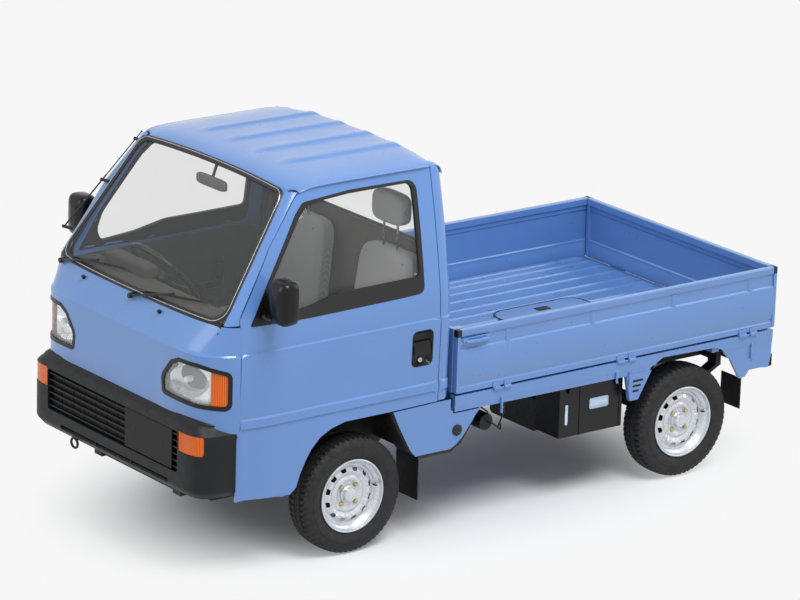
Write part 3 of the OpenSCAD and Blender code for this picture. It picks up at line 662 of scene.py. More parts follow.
def build_headlight(side):
    name = SIDE_NAME[side]

    def turn(points):
        return points if side > 0 else [Vector((-p.x, p.y)) for p in reversed(points)]

    rim = turn(lamp_outline(0.0025))
    inner = turn(lamp_outline(-0.0155))
    skin(name + "_headlight_bezel", rim, lambda u, z: nose(u, z, -0.0018), BLACK, "chassis", holes=[inner],
         depth=0.03, step=0.015, slot="black_plastic")
    lens_edge = turn(clipped(lamp_outline(-0.0160), 0.630, True))
    skin(name + "_headlight_lens", lens_edge, lambda u, z: nose(u, z, 0.0045), LENS_RIBBED, "chassis",
         depth=0.003, step=0.012, bevel=0, slot="clear_lens", replaces="headlights")
    centre = side * 0.49

    def bowl(u, z):
        far = hypot((u - centre) / 0.125, (z - 0.892) / 0.075)
        deep = 0.070 * max(0, 1 - far * far) ** 0.5 if far < 1 else 0
        return nose(u, z, 0.028 + deep)

    skin(name + "_headlight_reflector", turn(lamp_outline(-0.008)), bowl, REFLECTOR, "chassis", depth=0.002,
         step=0.008, bevel=0, slot="clear_lens")
    wall_edge = turn(lamp_outline(-0.004))
    near_ring = [Vector(nose(p.x, p.y, 0.006)) for p in wall_edge]
    far_ring = [Vector(nose(p.x, p.y, 0.030)) for p in wall_edge]
    n = len(near_ring)
    piece(name + "_headlight_wall", near_ring + far_ring, grid_faces(2, n, closed=True), BLACK, "chassis",
          slot="black_plastic")
    bulb = Vector(nose(centre, 0.892, 0.055))
    lathe(name + "_headlight_bulb",
          [(-0.001, 0.0), (0.0, 0.012), (0.03, 0.014), (0.036, 0.009), (0.038, 0.0)], (0, 0, 0), WHITE,
          "chassis", segments=24, slot="clear_lens").data.transform(
              Matrix.Translation(bulb) @ Matrix.Rotation(-pi / 2, 4, "Z"))
    amber = turn(clipped(lamp_outline(-0.0160), 0.635, False))
    skin(name + "_headlight_marker", amber, lambda u, z: nose(u, z, 0.0035), AMBER_PAINTED_RIB_SHADE, "chassis",
         depth=0.010, step=0.012, slot="amber_lens")


def ribbed_lens():
    look = Look("fluted_lens", srgb(246, 249, 252), 0.03, IOR=1.5, Alpha=0.16, Specular_IOR_Level=0.7)
    look.roughness(look.noise(8, 3), 0.03, 0.08)
    look.bump(look.wave(34, "X"), 0.6, 0.002)
    look.mat.blend_method = "BLEND"
    return look.mat


LENS_RIBBED = ribbed_lens()


def build_windscreen_frame():
    """The pillars and the header, drawn round the glass opening."""
    verts, faces = [], []
    rows = 26
    columns = 9
    for side in (1, -1):
        base = len(verts)
        for i in range(rows):
            v = i / (rows - 1)
            g = screen_point(side * 1.0, v)
            z = g.z
            y_door = linear(DOOR_SLOPE, z) if z > 1.186 else -1.4165
            y_door -= 0.006
            d = Vector((side * (smooth(HALF_WIDTH, z) - 0.011 * (1 - ease((y_door - DOOR_FRONT_Y) / 0.16))
                                + side_crease(z)), y_door, z))
            c = Vector((d.x + 0.22 * (g.x - d.x), g.y + 0.22 * (d.y - g.y), z))
            for j in range(columns):
                t = j / (columns - 1)
                verts.append(g * (1 - t) ** 2 + c * 2 * t * (1 - t) + d * t * t)
        strip = grid_faces(rows, columns)
        faces += [tuple(base + k for k in (f if side > 0 else reversed(f))) for f in strip]
    obj = piece("windscreen_frame_skin", verts, faces, [BLUE, GREY_TRIM], "chassis", slot="body_paint",
                replaces="windscreen_frame")
    thick(obj, 0.022, inner=1)
    bevelled(obj, 0.002)
    # the header between the glass and the roof
    verts = []
    n = 33
    for i in range(n):
        u = -1 + 2 * i / (n - 1)
        top = screen_point(u * 1.0, 1.0)
        ahead = screen_point(u, 1.0) - screen_point(u, 0.97)
        for t in (0.0, 0.5, 1.0):
            verts.append(top + ahead.normalized() * 0.006 * t + Vector((0, 0.008 + 0.004 * t, -0.010)))
        verts.append(top + Vector((0, 0.05, -0.012)))
        verts.append(top + Vector((0, 0.05, -0.03)))
        verts.append(top + Vector((0, -0.004, -0.024)))
    bevelled(piece("header_panel", verts, grid_faces(n, 6, closed=True), [BLUE], "chassis",
                   slot="body_paint"), 0.002)


def build_cowl():
    """The black strip under the glass and the two washer nozzles."""
    n = 49
    verts = []
    for i in range(n):
        u = -1 + 2 * i / (n - 1)
        g = screen_point(u * 0.985, 0.0)
        x = g.x
        run = abs(u) * 0.64
        y_panel = smooth(table_of(NOSE_TOP, 1), run)
        verts += [Vector((x, y_panel + 0.001, COWL_Z - 0.016)),
                  Vector((x, y_panel - 0.0035, COWL_Z - 0.012)),
                  Vector((x, y_panel - 0.002, COWL_Z + 0.004)), g + Vector((0, 0.006, 0.008)),
                  g + Vector((0, 0.03, -0.01)), Vector((x, y_panel + 0.02, COWL_Z - 0.03))]
    faces = grid_faces(n, 6, closed=True)
    bevelled(piece("cowl_strip", verts, faces, BLACK, "chassis", slot="black_plastic"), 0.001)
    runs = []
    for x in (-0.364, 0.234):
        y = nose(x, 1.122)[1]
        runs.append(([(x, y + 0.004, 1.118), (x, y - 0.006, 1.122), (x, y - 0.010, 1.130)], 0.0085, 14))
    tubes("washer_nozzles", runs, BLACK, "chassis", slot="black_plastic")


def build_windscreen():
    rows, columns = 20, 33
    grid = [(-1 + 2 * j / (columns - 1), i / (rows - 1)) for i in range(rows) for j in range(columns)]
    verts = [screen_point(u, v) - screen_normal(u, v) * 0.004 for u, v in grid]
    obj = piece("windscreen_glass", verts, grid_faces(rows, columns), GLASS, "chassis", slot="clear_glass",
                replaces="windscreen")
    thick(obj, 0.005)

    def ring(inset, lift):
        """Points round the glass's edge, inset from it and lifted off it."""
        w, h, r = 0.600 - inset, 0.345 - inset, 0.075
        loop = divided(rounded([(-w, -h, r), (w, -h, r), (w, h, 0.05), (-w, h, 0.05)], 6), 0.06)
        return [screen_point(p.x / 0.600, 0.5 + p.y / 0.690)
                + screen_normal(0.97 * p.x / 0.600, 0.5 + p.y / 0.690) * lift for p in loop]

    profile = [(-0.004, 0.0), (0.000, 0.005), (0.014, 0.0055), (0.022, 0.001), (0.024, -0.005)]
    rings = [ring(inset, lift) for inset, lift in profile]
    n = min(len(r) for r in rings)
    loops = [r[:n] if len(r) == n else [r[int(k * len(r) / n)] for k in range(n)] for r in rings]
    verts = [p for r in loops for p in r]
    piece("windscreen_seal", verts, grid_faces(len(profile), n, closed=True), RUBBER, "chassis",
          slot="black_plastic")
    tubes("windscreen_bead", [dict(path=ring(0.0060, 0.0052), radius=0.0018, sides=8, closed=True)], STEEL,
          "chassis", slot="steel")


def build_wipers():
    runs = []
    blades = []
    for x in (-0.575, 0.009):
        u0 = x / 0.625
        pivot = screen_point(u0, 0.0) + screen_normal(u0, 0.05) * 0.012 + Vector((0, -0.012, -0.022))
        tip = screen_point((x + 0.27) / 0.62, 0.085) + screen_normal(u0, 0.1) * 0.020
        runs.append(([pivot + Vector((0, 0.02, 0.0)), pivot - Vector((0, 0.008, 0.0))], 0.012, 16))
        runs.append(([pivot, pivot.lerp(tip, 0.12) + Vector((0, -0.004, 0)),
                      pivot.lerp(tip, 0.5) + Vector((0, -0.006, 0)), tip], 0.0055, 8))
        ends = [screen_point((x + 0.055) / 0.63, 0.022), screen_point((x + 0.465) / 0.61, 0.112)]
        lift = screen_normal(u0, 0.1)
        a, b = ends[0] + lift * 0.006, ends[1] + lift * 0.006
        mid = a.lerp(b, 0.5)
        blades.append(([a, mid, b], 0.0035, 6))
        runs.append(([a.lerp(b, 0.08) + lift * 0.006, a.lerp(b, 0.3) + lift * 0.013, mid + lift * 0.014,
                      a.lerp(b, 0.7) + lift * 0.013, a.lerp(b, 0.92) + lift * 0.006], 0.0032, 6))
        for t in (0.08, 0.3, 0.7, 0.92):
            blades.append(([a.lerp(b, t), a.lerp(b, t) + lift * 0.011], 0.0028, 6))
    tubes("wiper_arms", runs, BLACK, "chassis", slot="black_plastic", replaces="wipers")
    tubes("wiper_blades", blades, RUBBER, "chassis", slot="black_plastic")


def build_antenna():
    foot = Vector((-0.640, -1.4515, 1.266))
    tip = Vector((-0.577, -1.0835, 1.669))
    out = Vector((-0.86, -0.5, 0.12)).normalized() * 2.2
    runs = [([foot + out * 0.006, tip + out * 0.006], 0.0026, 8),
            ([foot + out * 0.006, foot.lerp(tip, 0.55) + out * 0.006], 0.0036, 8),
            ([tip + out * 0.006, tip.lerp(foot, -0.012) + out * 0.006], 0.0045, 10)]
    for t in (0.01, 0.5, 0.93):
        at = foot.lerp(tip, t)
        runs.append(([at - out * 0.012, at + out * 0.010], 0.0075, 10))
    tubes("antenna_rod", runs, CHASSIS, "chassis", slot="steel", replaces="antenna")


ROOF_SECTION = [(0, 1.7290), (0.262, 1.7262), (0.400, 1.7208), (0.460, 1.7160), (0.505, 1.7100),
                (0.540, 1.7035), (0.562, 1.6985), (0.574, 1.6950), (0.580, 1.6925), (0.583, 1.6912),
                (0.5895, 1.6920), (0.5915, 1.6900), (0.5895, 1.6870), (0.586, 1.684)]
ROOF_FRONT = [(-1.1095, 0.054), (-1.102, 0.042), (-1.09, 0.031), (-1.06, 0.0165), (-1.02, 0.0075),
              (-0.97, 0.0025), (-0.92, 0.0)]
ROOF_REAR = [(-0.42, 0), (-0.36, 0.003), (-0.325, 0.010), (-0.305, 0.021), (-0.293, 0.038),
             (-0.2865, 0.060), (-0.2845, 0.083)]
ROOF_ALONG = [0]
for (x0, z0), (x1, z1) in zip(ROOF_SECTION, ROOF_SECTION[1:]):
    ROOF_ALONG.append(ROOF_ALONG[-1] + hypot(x1 - x0, z1 - z0))


def roof_point(s, y):
    """A point of the roof: s runs across it from the middle, over the gutter and down behind it."""
    side = 1 if s >= 0 else -1
    a = abs(s)
    x = linear([(u, p[0]) for u, p in zip(ROOF_ALONG, ROOF_SECTION)], a)
    z = linear([(u, p[1]) for u, p in zip(ROOF_ALONG, ROOF_SECTION)], a)
    gutter = ease((x - 0.50) / 0.06)
    drop = smooth(ROOF_FRONT, y) if y < -0.9 else smooth(ROOF_REAR, y)
    rear = ease((y + 0.40) / 0.10)
    drop = drop * (1 - (0.62 if y < -0.9 else 0.45) * gutter)
    if y < -0.84:
        y = -0.84 + (y + 0.84) * (1 - 0.165 * gutter)
    pull = 0.045 * rear * ease((a - 0.30) / 0.30)
    ribs = 0
    for at in (-0.309, -0.104, 0.104, 0.309):
        across = 1 - ease((abs(s - at) - 0.016) / 0.016)
        ribs = max(ribs, across * ease((y + 0.97) / 0.09) * ease((-0.318 - y) / 0.03))
    z -= drop + pull * 0.35 * (1 - gutter)
    return (side * (x - pull * 0.55 * gutter), y, z + 0.010 * ribs)


def build_roof():
    wide = ROOF_ALONG[-1]
    columns = [0.0]
    for at in (-0.309, -0.104, 0.104, 0.309):
        columns += [at - 0.034, at - 0.027, at - 0.020, at - 0.012, at + 0.012, at + 0.020, at + 0.027,
                    at + 0.034]
    columns += [s * a for a in ROOF_ALONG[2:-1] for s in (1, -1)]
    columns += [s * k * 0.03 for k in range(1, 15) for s in (1, -1)
                if all(abs(s * k * 0.03 - c) > 0.012 for c in columns)]
    columns = sorted(columns + [-wide, wide])
    rows = [-1.1095, -1.10, -1.09, -1.075, -1.06, -1.04, -1.02, -0.995, -0.97, -0.945, -0.92, -0.895, -0.87,
            -0.84]
    rows += [-0.80 + 0.04 * k for k in range(10)]
    rows += [-0.40, -0.38, -0.36, -0.345, -0.335, -0.325, -0.315, -0.305, -0.298, -0.293, -0.289, -0.2865,
             -0.2850, -0.2845]
    verts = [roof_point(s, y) for y in rows for s in columns]
    faces = facing_out(verts, grid_faces(len(rows), len(columns)), CAB_CENTRE)
    obj = piece("roof_skin", verts, faces, [BLUE, LINER], "chassis", slot="body_paint",
                replaces="roof_panel", sharp=32)
    thick(obj, 0.004, inner=0)
    # the lining under it
    liner_rows = [-1.085, -1.06, -1.0, -0.9, -0.7, -0.5, -0.38, -0.34, -0.325]
    liner_columns = [-0.545 + 0.109 * k for k in range(11)]
    verts = []
    for y in liner_rows:
        edge = ease(min((y + 1.085) / 0.05, (-0.325 - y) / 0.04))
        for x in liner_columns:
            side = ease((0.56 - abs(x)) / 0.07)
            verts.append((x, y, 1.655 + 0.028 * side * edge + (0.010 if y < -1.0 else 0)))
    obj = piece("roof_lining", verts, grid_faces(len(liner_rows), len(liner_columns)), LINER, "chassis",
                slot="grey_trim")
    thick(obj, 0.006)
    # a rubber seal along the top of each doorway
    runs = []
    for side in (1, -1):
        runs.append(([(side * 0.566, y, 1.678) for y in (-1.03, -0.9, -0.7, -0.5, -0.36)], 0.005, 8))
    tubes("doorway_seals", runs, RUBBER, "chassis", slot="black_plastic")


CORNER_R = 0.052
BACK_TOP_Z = 1.650
BACK_STRAIGHT = HALF_W - CORNER_R
BACK_ARC = CORNER_R * pi / 2
BACK_SIDE = (BACK_Y - CORNER_R) - (DOOR_REAR_Y + DOOR_GAP - 0.001)


def back_point(u, z):
    """A point of the cab's back, from the middle round the corner to the door's rear edge."""
    side = 1 if u >= 0 else -1
    a = abs(u)
    reach = smooth(HALF_WIDTH, z) + side_crease(z)
    r = CORNER_R
    if a <= BACK_STRAIGHT:
        return (side * a / BACK_STRAIGHT * (reach - r), BACK_Y, z)
    if a <= BACK_STRAIGHT + BACK_ARC:
        w = (a - BACK_STRAIGHT) / r
        return (side * (reach - r + r * sin(w)), BACK_Y - r + r * cos(w), z)
    return (side * reach, BACK_Y - r - (a - BACK_STRAIGHT - BACK_ARC), z)


REAR_WINDOW = [(-0.50, 1.295, 0.05), (0.50, 1.295, 0.05), (0.455, 1.585, 0.05), (-0.455, 1.585, 0.05)]


def build_cab_back():
    edge = BACK_STRAIGHT + BACK_ARC + BACK_SIDE
    columns = [s * (BACK_STRAIGHT + BACK_ARC * k / 7) for k in range(8) for s in (1, -1)]
    window = rounded(REAR_WINDOW, 6)
    top = []
    for k in range(41):
        u = edge - 2 * edge * k / 40
        rise = 0.045 * ease((abs(u) - BACK_STRAIGHT) / (BACK_ARC + BACK_SIDE))
        top.append(Vector((u, BACK_TOP_Z + rise)))
    outline = [Vector((-edge, 0.64)), Vector((edge, 0.64))] + top
    skin("cab_back_skin", outline, back_point, [BLUE, GREY_TRIM], "chassis", holes=[window], depth=0.014,
         step=0.035, rows=CREASE_ROWS, columns=columns, slot="body_paint", replaces="cab_back_panel",
         inner=1)
    glass_edge = offset_outline(window, -0.004)
    flat = [Vector((p.x, p.y)) for p in glass_edge]
    skin("rear_window_glass", flat, lambda x, z: (x, BACK_Y - 0.006, z), GLASS, "chassis", depth=0.004,
         step=0.08, bevel=0, slot="clear_glass", replaces="rear_window")
    ring = [Vector((p.x, BACK_Y - 0.001, p.y)) for p in window]
    tubes("rear_window_seal", [dict(path=ring, radius=0.011, sides=10, closed=True)], RUBBER, "chassis",
          slot="black_plastic")
    # pressed lines across the back below the window
    runs = []
    for z in (0.99, 1.06, 1.13, 1.20):
        runs.append(([(-0.50, BACK_Y - 0.004, z), (0.50, BACK_Y - 0.004, z)], 0.009, 12))
    tubes("back_beads", runs, BLUE, "chassis", slot="body_paint")


def sill_outline():
    points = [(-0.603, 0.627), (-0.575, 0.565), (-0.534, 0.488), (-0.505, 0.436), (-0.480, 0.402),
              (-0.470, 0.398), (-0.281, 0.398), (-0.250, 0.414), (-0.215, 0.443), (-0.172, 0.497),
              (-0.146, 0.534), (-0.119, 0.562), (-0.266, 0.562), (-0.2855, 0.580), (-0.2855, 0.632),
              (-0.362, 0.632)]
    return [Vector(p) for p in points]


def build_sills():
    for side in (1, -1):
        name = SIDE_NAME[side]
        outline = sill_outline()
        skin(name + "_sill_skin", outline, lambda y, z: (side * (side_x(y, z)), y, z), BLUE, "chassis",
             depth=0.006, step=0.03, slot="body_paint", replaces="side_sills")
        lathe(name + "_sill_plug",
              [(-0.004, 0.026), (0.003, 0.026), (0.006, 0.022), (0.007, 0.012), (0.005, 0.010),
               (0.005, 0.0)], (0, 0, 0), RUBBER, "chassis", segments=32,
              slot="black_plastic").data.transform(
                  Matrix.Translation((side * 0.6925, -0.246,
                                      0.482)) @ Matrix.Rotation(0 if side > 0 else pi, 4, "Z"))
        # the flange round the wheel arch and the pipe behind the sill
        band = [(-0.603, 0.627), (-0.575, 0.565), (-0.534, 0.488), (-0.505, 0.436), (-0.480, 0.402)]
        verts = [(side * x, y, z) for y, z in band for x in (0.690, 0.560)]
        thick(piece(name + "_sill_arch", verts, grid_faces(len(band), 2), CHASSIS, "chassis",
                    slot="black_metal"), 0.004)
        runs = [([(side * 0.682, -0.462, 0.392), (side * 0.682, -0.28, 0.391),
                  (side * 0.680, -0.225, 0.420), (side * 0.672, -0.16, 0.50), (side * 0.655, -0.11, 0.560)],
                 0.011, 12)]
        tubes(name + "_sill_pipe", runs, CHASSIS, "chassis", slot="black_metal")
    lathe("air_duct", [(-0.10, 0.0), (-0.10, 0.036), (-0.094, 0.040), (0.094, 0.040), (0.10, 0.036),
                       (0.10, 0.0)],
          (0.545, -0.045, 0.470), BLACK, "chassis", segments=40, slot="black_plastic")
    tubes("duct_hooks", [([(0.655, -0.10, 0.560), (0.668, -0.06, 0.53), (0.668, -0.03, 0.47),
                           (0.655, 0.03, 0.425), (0.63, 0.05, 0.44)], 0.004, 8),
                         ([(0.65, 0.05, 0.562), (0.66, 0.04, 0.50), (0.66, 0.01, 0.44)], 0.004, 8)],
          CHASSIS, "chassis", slot="black_metal")


build_front_panel()
build_headlight(1)
build_headlight(-1)
build_windscreen_frame()
build_cowl()
build_windscreen()
build_wipers()
build_antenna()
build_roof()
build_cab_back()
build_sills()

# ---- doors ----------------------------------------------------------------------------------------


def door_outline():
    points = [(-1.4365, 0.370), (-1.4195, 0.561), (-1.4195, 1.181), (-1.411, 1.190), (-1.370, 1.256),
              (-1.244, 1.466), (-1.121, 1.612), (-1.090, 1.649), (-1.060, 1.672), (-1.017, 1.686),
              (-0.956, 1.691), (-0.372, 1.691), (-0.3635, 1.684), (-0.3615, 1.66), (-0.3615, 0.638),
              (-0.605, 0.634), (-0.866, 0.634), (-0.941, 0.615), (-0.999, 0.585), (-1.046, 0.538),
              (-1.076, 0.489), (-1.102, 0.434), (-1.121, 0.378), (-1.153, 0.352)]
    return [Vector(p) for p in points]


WINDOW_FRAME = [(-1.370, 1.144, 0.004), (-1.275, 1.314, 0.2), (-1.097, 1.583, 0.1), (-1.052, 1.628, 0.04),
                (-0.974, 1.634, 0.2), (-0.801, 1.647, 0.2), (-0.444, 1.645, 0.050),
                (-0.444, 1.150, 0.035), (-0.583, 1.145, 0.2), (-1.066, 1.138, 0.2),
                (-1.276, 1.142, 0.2)]
WINDOW_GLASS = [(-1.276, 1.229, 0.02), (-1.254, 1.311, 0.1), (-1.078, 1.568, 0.06), (-1.029, 1.613, 0.05),
                (-0.964, 1.622, 0.2), (-0.804, 1.632, 0.2), (-0.469, 1.633, 0.034),
                (-0.467, 1.226, 0.02), (-0.688, 1.223, 0.2), (-0.903, 1.222, 0.2), (-1.064, 1.188, 0.1),
                (-1.245, 1.172, 0.03)]


def build_door(side):
    name = SIDE_NAME[side]
    body = "door_" + name

    def outer(sink):
        return lambda y, z: (side * (side_x(y, z) - sink), y, z)

    frame_edge = soft_outline(WINDOW_FRAME)
    glass_edge = soft_outline(WINDOW_GLASS)
    recess = rounded([(-0.5095, 0.822, 0.022), (-0.4035, 0.822, 0.022), (-0.4035, 0.978, 0.022),
                      (-0.5095, 0.978, 0.022)], 5)
    skin(name + "_door_skin", door_outline(), outer(0), BLUE, body,
         holes=[offset_outline(frame_edge, -0.012), recess], depth=0.010, step=0.034, rows=CREASE_ROWS,
         slot="body_paint", replaces=name + "_door")
    skin(name + "_window_frame", frame_edge, outer(-0.0015), RUBBER, body, holes=[glass_edge], depth=0.014,
         step=0.03, slot="black_plastic", replaces=name + "_door_trim")
    skin(name + "_door_window", offset_outline(glass_edge, 0.004), outer(0.008), GLASS, body, depth=0.004,
         step=0.05, bevel=0, slot="clear_glass", replaces=name + "_door_glass")
    # the inner card, with its arm rest, pull and winder
    card = [(-1.385, 0.42), (-1.370, 1.105), (-1.340, 1.130), (-0.45, 1.130), (-0.405, 1.10),
            (-0.405, 0.655), (-0.86, 0.655), (-0.96, 0.625), (-1.03, 0.575), (-1.08, 0.50), (-1.115, 0.41)]
    card_corners = [(a, b, 0.02) for a, b in card]
    skin(name + "_door_card", soft_outline(card_corners),
         lambda y, z: (side * (side_x(y, z) - 0.046 + 0.010 * ease((z - 1.07) / 0.06)), y, z), DARK_TRIM,
         body, depth=0.006, step=0.06, bevel=0.004, slot="grey_trim")
    cuboids = []
    x0, x1 = sorted((side * 0.612, side * 0.648))
    cuboids.append(((x0, -1.00, 0.865), (x1, -0.62, 0.900)))
    cuboids.append(((min(side * 0.618, side * 0.646), -0.64, 0.900),
                    (max(side * 0.618, side * 0.646), -0.60, 0.985)))
    box_piece(name + "_arm_rest", cuboids, BLACK, body, bevel=0.008, slot="black_plastic")
    tubes(name + "_window_winder", [([(side * 0.648, -1.08, 0.80), (side * 0.625, -1.08, 0.80)], 0.016, 20),
                                    ([(side * 0.628, -1.08, 0.80), (side * 0.624, -1.02, 0.74),
                                      (side * 0.624, -0.985, 0.705)], 0.0065, 10),
                                    ([(side * 0.628, -0.985, 0.705), (side * 0.600, -0.985, 0.705)], 0.010,
                                     16)],
          BLACK, body, slot="black_plastic")
    # the seal round the shut face
    seal = divided(offset_outline(door_outline(), -0.010), 0.05)
    ring = [Vector((side * (side_x(p.x, p.y) - 0.012), p.x, p.y)) for p in seal]
    back = [Vector((side * (side_x(p.x, p.y) - 0.030), p.x, p.y)) for p in seal]
    n = min(len(ring), len(back))
    thick(piece(name + "_door_edge", ring[:n] + back[:n], grid_faces(2, n, closed=True), RUBBER, body,
                slot="black_plastic"), 0.002)
    build_handle(name, side, body, recess)
    build_mirror(name, side, body)


def build_handle(name, side, body, recess):
    def shrunk(depth, inset):
        small = offset_outline(recess, -inset)
        return [Vector((side * (side_x(p.x, p.y) - depth), p.x, p.y)) for p in small]

    rings = [shrunk(-0.0012, -0.005), shrunk(-0.0022, -0.001), shrunk(0.001, 0.002), shrunk(0.012, 0.006),
             shrunk(0.018, 0.014)]
    m = min(len(r) for r in rings)
    verts = [p for r in rings for p in r[:m]]
    faces = grid_faces(len(rings), m, closed=True) + [tuple(range((len(rings) - 1) * m, len(rings) * m))]
    piece(name + "_handle_cup", verts, facing_out(verts, faces, CAB_CENTRE), BLACK, body,
          slot="black_plastic")
    plate = rounded([(-0.502, 0.868, 0.008), (-0.411, 0.868, 0.008), (-0.411, 0.930, 0.008),
                     (-0.502, 0.930, 0.008)], 4)
    skin(name + "_handle_lever", plate,
         lambda y, z: (side * (side_x(y, z) + 0.001 - 0.010 * ease((z - 0.895) / 0.04)), y, z), BLACK, body,
         depth=0.006, step=0.012, bevel=0.002, slot="black_plastic")
    lathe(name + "_door_lock",
          [(-0.003, 0.0125), (0.003, 0.0120), (0.0045, 0.0105), (0.0045, 0.0085), (0.003, 0.008),
           (0.003, 0)], (0, 0, 0), STEEL, body, segments=28, slot="steel").data.transform(
              Matrix.Translation((side * (side_x(-0.457, 0.845) - 0.016), -0.457,
                                  0.843)) @ Matrix.Rotation(0 if side > 0 else pi, 4, "Z"))


def build_mirror(name, side, body):
    """The head, its glass, the stalk and the triangular foot in front of the window."""
    centre = Vector((side * 0.782, -1.281, 1.267))
    half = Vector((0.065, 0.044, 0.098))
    verts = []
    rows = [(-1.0, 0.90), (-0.86, 0.955), (-0.4, 0.985), (0.1, 1.0), (0.45, 0.97), (0.72, 0.86),
            (0.9, 0.62), (1.0, 0.25)]
    around = 40
    square_ring = [tuple(abs(c) ** 0.42 * (1 if c > 0 else -1) for c in (cos(w), sin(w)))
                   for w in (2 * pi * k / around for k in range(around))]
    for along, grow in rows:
        for px, pz in square_ring:
            verts.append((centre.x + px * half.x * grow, centre.y - along * half.y,
                          centre.z + pz * half.z * (0.25 + 0.75 * grow)))
    last = len(rows) * around
    verts.append((centre.x, centre.y - half.y, centre.z))
    faces = grid_faces(len(rows), around, closed=True)
    faces += [(last, last - around + (k + 1) % around, last - around + k) for k in range(around)]
    piece(name + "_mirror_shell", verts, faces, MIRROR_HEAD, body, slot="black_plastic", sharp=50)
    verts = []
    for depth, grow in ((0.033, 0.90), (0.031, 0.86), (0.028, 0.85)):
        for px, pz in square_ring:
            verts.append((centre.x + px * half.x * grow, centre.y + depth,
                          centre.z + pz * half.z * (0.08 + grow * 0.92)))
    faces = grid_faces(3, around, closed=True) + [tuple(range(2 * around, 3 * around))]
    piece(name + "_mirror_glass", verts, faces, CHROME, body, slot="clear_glass")
    stalk = [(side * 0.690, -1.315, 1.186), (side * 0.712, -1.312, 1.176), (side * 0.745, -1.300, 1.178),
             (side * 0.768, -1.288, 1.20)]
    stem = [(side * 0.768, -1.288, 1.19), (side * 0.772, -1.284, 1.24)]
    tubes(name + "_mirror_stalk", [(stalk, 0.010, 14), (stem, 0.014, 14)], BLACK, body,
          slot="black_plastic")
    foot = rounded([(-1.368, 1.146, 0.004), (-1.268, 1.146, 0.012), (-1.266, 1.205, 0.012),
                    (-1.285, 1.296, 0.006)], 4)
    skin(name + "_mirror_foot", foot, lambda y, z: (side * (side_x(y, z) + 0.006), y, z), BLACK, body,
         depth=0.012, step=0.02, bevel=0.004, slot="black_plastic")


build_door(1)
build_door(-1)

# ---- bumper, grille and lamps ---------------------------------------------------------------------


def bumper_top_z(u):
    """The height of the bumper's top edge, which falls towards the corners."""
    return 0.745 - 0.032 * ease((abs(u) - 0.45) / 0.3)


def bumper_point(u, z, sink=0.0):
    """A point of the bumper's face: u runs round it from the middle."""
    side = 1 if u >= 0 else -1
    a = abs(u)
    along = [(0, 0), (0.56, 0.56), (0.617, 0.610), (0.660, 0.640), (0.700, 0.662), (0.76, 0.678),
             (0.83, 0.688), (0.90, 0.693)]
    back = [(0, -1.6275), (0.56, -1.6255), (0.617, -1.617), (0.660, -1.600), (0.700, -1.572),
            (0.76, -1.520), (0.83, -1.452), (0.90, -1.4445)]
    x = smooth(along, a)
    y = smooth(back, a)
    top = bumper_top_z(u)
    lean = 0.040 * ease((z - (top - 0.048)) / 0.048) ** 1.4
    foot = 0.030 * ease((0.43 - z) / 0.045)
    inward = max(lean + sink, 0) + foot
    before = a - 0.01 if a > 0.01 else 0
    ahead_x = smooth(along, a + 0.01) - smooth(along, before)
    ahead_y = smooth(back, a + 0.01) - smooth(back, before)
    length = max(hypot(ahead_x, ahead_y), 1e-6)
    x += -ahead_y / length * inward
    y += ahead_x / length * inward
    return (side * x, y, z)


